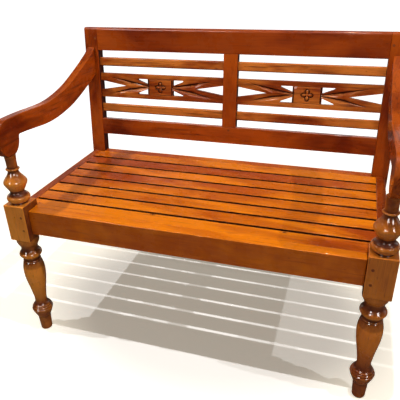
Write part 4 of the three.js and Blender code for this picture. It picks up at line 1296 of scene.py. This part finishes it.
class BENCH_OT_carve_splats(bpy.types.Operator):
    """Carve the two pierced splats and their four-petal flowers"""

    bl_idname = "bench.carve_splats"
    bl_label = "Carve splats"

    def execute(self, context):
        for index, side in enumerate(SIDES):
            node = f"carved_splat_{side}"
            shift, tone = log_shift("splat", index), 0.28 + 0.08 * index
            material = wood(context, f"{node}_wood", "carved", ALONG_X, shift, tone, contrast=1.3)
            self.board(node, material)
            self.flower(node, material)
        return {"FINISHED"}

    def board(self, node, material):
        """The pierced board: a copy of the node, its flat faces joined and its arrises eased."""
        shell = bmesh.new()
        shell.from_mesh(NODES[node].data)
        bmesh.ops.remove_doubles(shell, verts=shell.verts, dist=0.01 * MM)
        bmesh.ops.dissolve_limit(shell, angle_limit=math.radians(1), verts=shell.verts, edges=shell.edges)
        bmesh.ops.recalc_face_normals(shell, faces=shell.faces)
        mesh = bpy.data.meshes.new(f"{node}_carved")
        shell.to_mesh(mesh)
        shell.free()
        self.painted_light_and_shade(node, mesh)
        mesh.shade_smooth()
        mesh.set_sharp_from_angle(angle=CARVED_CREASE)
        mesh.materials.append(material)
        piece = bpy.data.objects.new(f"{node}_carved", mesh)
        bpy.context.scene.collection.objects.link(piece)
        easing = piece.modifiers.new("Eased arrises", "BEVEL")
        easing.width = CARVED_EASING
        easing.segments = 2
        easing.limit_method = "ANGLE"
        easing.angle_limit = EASED_EDGE
        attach(piece, BODY)
        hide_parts(node)

    def painted_light_and_shade(self, node, mesh):
        """Masks of each face: painted shade on the cut sides, the bed and the slopes that look down,
        and a painted highlight on the slopes that look up.
        """
        count = len(mesh.polygons)
        centres, normals = np.empty(count * 3), np.empty(count * 3)
        mesh.polygons.foreach_get("center", centres)
        mesh.polygons.foreach_get("normal", normals)
        centres, normals = centres.reshape(-1, 3), normals.reshape(-1, 3)
        towards = np.array([0.0, math.cos(RAKE), -math.sin(RAKE)])
        upward = normals @ np.array([0.0, math.sin(RAKE), math.cos(RAKE)])
        facing = -normals @ towards
        front = unraked_box(node)[0][1]
        depth = (centres - [0.0, POST_FRONT, SEAT_TOP]) @ towards - front
        side, slope = np.abs(facing) <= 0.3, (facing > 0.3) & (facing < 0.97)
        # Painted shade on slopes and sides that look down and on the sunk bed; painted highlight on slopes
        # that look up
        stain_and_shade = np.where(slope, np.where(upward > 0.1, 0.15, 0.95), 0.0)
        stain_and_shade = np.where(side, np.where(upward > 0.5, 0.3, 0.9), stain_and_shade)
        stain_and_shade = np.where((facing > 0.9) & (depth > 2 * MM), 0.85, stain_and_shade)
        wear_and_highlight = np.where(slope & (upward > 0.1), 0.9, 0.0)
        for mask, values in (("stain_and_shade", stain_and_shade), ("edge", wear_and_highlight)):
            mesh.attributes.new(mask, "FLOAT", "FACE").data.foreach_set("value", values.astype(np.float32))

    def flower(self, node, material):
        """Four leaf-shaped petals and a boss.

        At a share u of its length a petal is as wide as sin(pi u) to the power 0.6 and as high as sin(pi u)
        to the power 0.5.
        """
        low, high = unraked_box(node)
        middle = np.array([(low[0] + high[0]) / 2, low[1] + FLOWER_BED, (low[2] + high[2]) / 2])
        u = np.linspace(0.004, 0.996, 25)[:, None]
        turn = np.linspace(0, 2 * math.pi, PETAL_SIDES, endpoint=False)[None, :]
        wide = PETAL_HALF * np.sin(math.pi * u) ** 0.6
        tall = PETAL_HEIGHT * np.sin(math.pi * u) ** 0.5
        out = PETAL_START + PETAL_LENGTH * u + 0 * turn
        points, faces = [], []
        for quarter in range(4):
            angle = quarter * math.pi / 2
            x = out * math.cos(angle) - wide * np.cos(turn) * math.sin(angle)
            z = out * math.sin(angle) + wide * np.cos(turn) * math.cos(angle)
            start = quarter * u.size * turn.size
            faces += [[start + k for k in face] for face in ring_faces(u.size, turn.size)]
            points.append(np.stack([x, tall * np.sin(turn), z], axis=-1).reshape(-1, 3))
        points = raked(np.vstack(points) + middle)
        # Painted highlight along each petal's front ridge, painted shade on its sides
        ridge = np.tile(np.clip(-2 * np.sin(turn) - 1, 0, 1), (4 * u.size, 1)).reshape(-1)
        masks = {"edge": 0.9 * ridge, "stain_and_shade": 0.75 * (1 - ridge)}
        piece_from(f"{node}_petals", points, faces, material, node, masks)
        rise = np.linspace(0.02, 0.98, 17)[:, None] * math.pi
        x = BOSS_RADIUS * np.sin(rise) * np.cos(turn)
        y = BOSS_HEIGHT * np.cos(rise) + 0 * turn
        z = BOSS_RADIUS * np.sin(rise) * np.sin(turn)
        boss = raked(np.stack([x, y, z], axis=-1).reshape(-1, 3) + middle)
        masks = {"edge": np.full(len(boss), 0.5), "stain_and_shade": np.full(len(boss), 0.2)}
        faces = ring_faces(rise.size, turn.size)
        piece_from(f"{node}_boss", boss, faces, material, node, masks)


class BENCH_OT_fit_pegs(bpy.types.Operator):
    """Drive the pegs: a low dome of end grain in a dark ring"""

    bl_idname = "bench.fit_pegs"
    bl_label = "Fit pegs"

    def execute(self, context):
        material = wood(
            context, "peg_wood", "turned", ALONG_Y, log_shift("peg"), tone=0.6, contrast=1.0,
            instead={"Middle": context.scene.bench_colours.peg},
        )
        for node in sorted(n for n in NODES if "_peg" in n):
            upright = node.startswith("leg_peg")
            if upright:
                low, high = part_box(node)
                centre = np.array([(low.x + high.x) / 2, low.y, (low.z + high.z) / 2])
            else:
                low, high = unraked_box(node)
                centre = np.array([(low[0] + high[0]) / 2, low[1], (low[2] + high[2]) / 2])
            self.peg(node, centre, upright, material)
        return {"FINISHED"}

    def peg(self, node, centre, upright, material):
        """Spins a dome that falls to a ring nearly flush with the face, and a shank behind it.

        At a share s of its radius the dome stands out by its middle's measure less its fall times s cubed.
        """
        share = np.linspace(0.03, 1, 10)
        radius = np.concatenate([PEG_RADIUS * share, PEG_RING])
        proud = np.concatenate([PEG_MIDDLE - PEG_FALL * share**3, RING_PROUD])
        turn = np.linspace(0, 2 * math.pi, PEG_SIDES, endpoint=False)
        x = radius[:, None] * np.cos(turn) * MM
        z = radius[:, None] * np.sin(turn) * MM
        y = np.broadcast_to(-proud[:, None] * MM, x.shape)
        points = np.stack([x, y, z], axis=-1).reshape(-1, 3) + centre
        masks = {"stain_and_shade": np.repeat(RING_STAIN * (radius > PEG_RADIUS), PEG_SIDES)}
        points = points if upright else raked(points)
        faces = ring_faces(len(radius), PEG_SIDES)
        piece_from(f"{node}_driven", points, faces, material, node, masks)


class BENCH_OT_finish_bearers(bpy.types.Operator):
    """Finish the bearers under the seat, which keep the shapes of the frame"""

    bl_idname = "bench.finish_bearers"
    bl_label = "Finish bearers"

    def execute(self, context):
        for index, node in enumerate(("slat_bearer_left", "slat_bearer_right", "centre_bearer")):
            shift = log_shift("bearer", index)
            material = wood(context, f"{node}_wood", "frame", ALONG_Y, shift, tone=0.2, contrast=1.0)
            NODES[node].data.materials.clear()
            NODES[node].data.materials.append(material)
        return {"FINISHED"}


# Studio

# The camera that sees the bench as the photograph does: its place, its angles in radians, its lens in pixels
CAMERA_PLACE = (0.38938, -1.301154, 1.108883)
CAMERA_YAW, CAMERA_PITCH, CAMERA_ROLL = 0.322936, -0.480491, -0.030035
IMAGE_SIDE = 400
FOCAL_PIXELS = 479.9025
MIDDLE_PIXEL = (196.0348, 204.9829)
SENSOR = 36.0
# The lamps: height of the overhead row, its place in Y and each lamp's in X, then the front lamp's place
LAMP_HEIGHT = 2.26
LAMP_Y = -0.43
LAMPS = (("left", -1.19), ("middle", 0.345), ("right", 1.885))
FRONT_LAMP = (0.345, -2.7, 2.26)
# Directions in which the lacquer shows a small softbox, and the cosines of its soft edge
SOFTBOXES = ((-0.35, -0.8, 0.48), (0.62, -0.62, 0.48))
SOFTBOX_EDGE = (0.988, 0.994)
WHITE = (1.0, 1.0, 1.0, 1.0)
LAMP_COLOUR = (1.0, 0.98, 0.95)
BACKDROP_COLOUR = (1.0, 0.985, 0.96, 1.0)
FLOOR_REACH = 14.0
# The floor as the camera sees it: its colour under the lamps, and its glow near the bench and round it
FLOOR_SEEN = (0.96, 0.97, 1.0, 1.0)
GLOW_NEAR = (0.277, 0.24, 0.182, 1.0)
GLOW_ROUND = (0.78, 0.7, 0.55, 1.0)
# The floor as the lacquer mirrors it: its colour and the strength of its glow
FLOOR_MIRRORED = (0.06, 0.045, 0.03, 1.0)
GLOW_MIRRORED = 0.03


class BENCH_OT_set_studio(bpy.types.Operator):
    """Set the floor, the lamps, the even light and the camera"""

    bl_idname = "bench.set_studio"
    bl_label = "Set studio"

    def execute(self, context):
        self.floor(context)
        self.lamps(context)
        self.fill(context)
        self.camera(context)
        context.scene.view_settings.view_transform = "Standard"
        return {"FINISHED"}

    def floor(self, context):
        """A wide pale floor. For the camera it glows, warm round the bench and white far from it."""
        low, high = -FLOOR_REACH, FLOOR_REACH
        corners = np.array([(low, low, 0), (high, low, 0), (high, high, 0), (low, high, 0)])
        mesh = bpy.data.meshes.new("floor")
        mesh.from_pydata(corners.tolist(), [], [(0, 1, 2, 3)])
        floor = bpy.data.objects.new("floor", mesh)
        context.scene.collection.objects.link(floor)
        material = bpy.data.materials.new("floor")
        material.use_nodes = True
        graph = Graph(material.node_tree)
        shader = material.node_tree.nodes["Principled BSDF"]
        shader.inputs["Roughness"].default_value = 0.9
        shader.inputs["Specular IOR Level"].default_value = 0.1
        place = graph.node("ShaderNodeTexCoord")
        grit = graph.ramp(graph.noise(place.outputs["Object"], 220.0, 3.0, 0.6), 0.35, 0.65)
        colour = context.scene.studio_settings.floor
        pale = (*[min(1.0, 1.04 * c) for c in colour], 1.0)
        path = graph.node("ShaderNodeLightPath")
        seen = graph.mix(grit, FLOOR_SEEN, WHITE)
        tinted = graph.mix(grit, (*colour, 1.0), pale)
        tinted = graph.mix(path.outputs["Is Glossy Ray"], tinted, FLOOR_MIRRORED)
        graph.link(graph.mix(path.outputs["Is Camera Ray"], tinted, seen), shader.inputs["Base Color"])
        away = graph.node("ShaderNodeVectorMath", operation="LENGTH")
        graph.link(graph.stretched(place.outputs["Object"], (1.0, 1.35, 1.0)), away.inputs[0])
        glow = graph.mix(graph.ramp(away.outputs["Value"], 0.42, 0.72), GLOW_NEAR, GLOW_ROUND)
        glow = graph.mix(graph.ramp(away.outputs["Value"], 1.2, 3.0), glow, WHITE)
        graph.link(glow, shader.inputs["Emission Color"])
        mirrored = graph.maths("MULTIPLY", path.outputs["Is Glossy Ray"], GLOW_MIRRORED)
        strength = graph.maths("MAXIMUM", path.outputs["Is Camera Ray"], mirrored)
        graph.link(strength, shader.inputs["Emission Strength"])
        mesh.materials.append(material)

    def lamps(self, context):
        """A row of three small round lamps overhead and a weak one in front, each turned to the seat."""
        studio = context.scene.studio_settings
        places = [(name, (x, LAMP_Y, LAMP_HEIGHT), studio.lamp) for name, x in LAMPS]
        for name, place, power in [*places, ("front", FRONT_LAMP, studio.front)]:
            data = bpy.data.lights.new(f"lamp_{name}", "AREA")
            data.shape = "DISK"
            data.size = studio.lamp_size
            data.energy = power
            data.color = LAMP_COLOUR
            lamp = bpy.data.objects.new(f"lamp_{name}", data)
            context.scene.collection.objects.link(lamp)
            lamp.location = place
            aim = Vector((0.0, 0.0, SEAT_TOP)) - lamp.location
            lamp.rotation_euler = aim.to_track_quat("-Z", "Y").to_euler()

    def fill(self, context):
        """Even light from all round, white to the camera.

        In the lacquer it is a backdrop behind the bench with a bright horizon, light from above and the
        softboxes.
        """
        studio = context.scene.studio_settings
        world = bpy.data.worlds.new("studio")
        world.use_nodes = True
        graph = Graph(world.node_tree)
        backdrop = world.node_tree.nodes["Background"]
        backdrop.inputs["Color"].default_value = BACKDROP_COLOUR
        path = graph.node("ShaderNodeLightPath")
        strength = graph.maths("MULTIPLY_ADD", path.outputs["Is Camera Ray"], 1.0 - studio.fill, studio.fill)
        place = graph.node("ShaderNodeTexCoord")
        side, back, height = graph.coordinates(place.outputs["Generated"])
        left = graph.ramp(graph.maths("MULTIPLY", side, -1.0), 0.28, 0.62, 0.12, 1.0)
        behind = graph.ramp(back, 0.0, 0.4)
        glow = graph.maths("MULTIPLY", behind, graph.ramp(height, 0.3, 0.7, studio.sheen, 0.0))
        glow = graph.maths("MULTIPLY", left, glow)
        horizon = graph.maths("MULTIPLY", behind, graph.ramp(height, 0.1, 0.28, 1.1, 0.0))
        glow = graph.maths("MAXIMUM", glow, horizon)
        for towards in SOFTBOXES:
            facing = graph.node("ShaderNodeVectorMath", operation="DOT_PRODUCT")
            graph.link(place.outputs["Generated"], facing.inputs[0])
            facing.inputs[1].default_value = Vector(towards).normalized()
            box = graph.ramp(facing.outputs["Value"], *SOFTBOX_EDGE, 0.0, studio.softbox)
            glow = graph.maths("ADD", glow, box)
        overhead = graph.ramp(height, 0.75, 0.95, 0.03, studio.overhead)
        mirrored = graph.maths("SUBTRACT", graph.maths("ADD", glow, overhead), studio.fill)
        added = graph.maths("MULTIPLY", path.outputs["Is Glossy Ray"], mirrored)
        strength = graph.maths("ADD", strength, added)
        graph.link(strength, backdrop.inputs["Strength"])
        context.scene.world = world

    def camera(self, context):
        """The camera at the photograph's place: looking along its yaw and pitch, then rolled."""
        data = bpy.data.cameras.new("camera")
        data.sensor_width = SENSOR
        data.lens = FOCAL_PIXELS / IMAGE_SIDE * SENSOR
        data.shift_x = (IMAGE_SIDE / 2 - MIDDLE_PIXEL[0]) / IMAGE_SIDE
        data.shift_y = (MIDDLE_PIXEL[1] - IMAGE_SIDE / 2) / IMAGE_SIDE
        data.clip_start = 0.05
        data.clip_end = 60.0
        camera = bpy.data.objects.new("camera", data)
        context.scene.collection.objects.link(camera)
        level = math.cos(CAMERA_PITCH)
        sine, cosine = math.sin(CAMERA_YAW), math.cos(CAMERA_YAW)
        ahead = Vector((-sine * level, cosine * level, math.sin(CAMERA_PITCH)))
        right = Vector((cosine, sine, 0.0))
        up = right.cross(ahead)
        rolled_right = right * math.cos(CAMERA_ROLL) + up * math.sin(CAMERA_ROLL)
        rolled_up = up * math.cos(CAMERA_ROLL) - right * math.sin(CAMERA_ROLL)
        turn = Matrix((rolled_right, rolled_up, -ahead)).transposed()
        camera.matrix_world = Matrix.Translation(CAMERA_PLACE) @ turn.to_4x4()
        context.scene.camera = camera


class BENCH_PT_panel(bpy.types.Panel):
    """Lists the steps that build the bench"""

    bl_idname = "BENCH_PT_panel"
    bl_label = "Deacons Bench"
    bl_space_type = "VIEW_3D"
    bl_region_type = "UI"
    bl_category = "Bench"

    def draw(self, context):
        for group in ("bench_colours", "bench_finish", "bench_shape", "studio_settings"):
            settings = getattr(context.scene, group)
            box = self.layout.box()
            for key in settings.bl_rna.properties.keys():
                if key not in {"rna_type", "name"}:
                    box.prop(settings, key)
        for step in STEPS:
            self.layout.operator(step.bl_idname)


GROUPS = (
    ("bench_colours", BenchColours),
    ("bench_finish", BenchFinish),
    ("bench_shape", BenchShape),
    ("studio_settings", StudioSettings),
)
STEPS = (
    BENCH_OT_set_studio,
    BENCH_OT_turn_legs,
    BENCH_OT_saw_posts,
    BENCH_OT_saw_arms,
    BENCH_OT_plane_seat,
    BENCH_OT_plane_back,
    BENCH_OT_carve_splats,
    BENCH_OT_fit_pegs,
    BENCH_OT_finish_bearers,
)


def register():
    """Registers the settings, the steps and the panel."""
    for key, group in GROUPS:
        bpy.utils.register_class(group)
        setattr(bpy.types.Scene, key, PointerProperty(type=group))
    for step in STEPS:
        bpy.utils.register_class(step)
    bpy.utils.register_class(BENCH_PT_panel)


def unregister():
    """Takes away what register put in place."""
    bpy.utils.unregister_class(BENCH_PT_panel)
    for step in reversed(STEPS):
        bpy.utils.unregister_class(step)
    for key, group in reversed(GROUPS):
        delattr(bpy.types.Scene, key)
        bpy.utils.unregister_class(group)


def main():
    register()
    for step in STEPS:
        area, name = step.bl_idname.split(".")
        getattr(getattr(bpy.ops, area), name)()


if __name__ == "__main__":
    main()
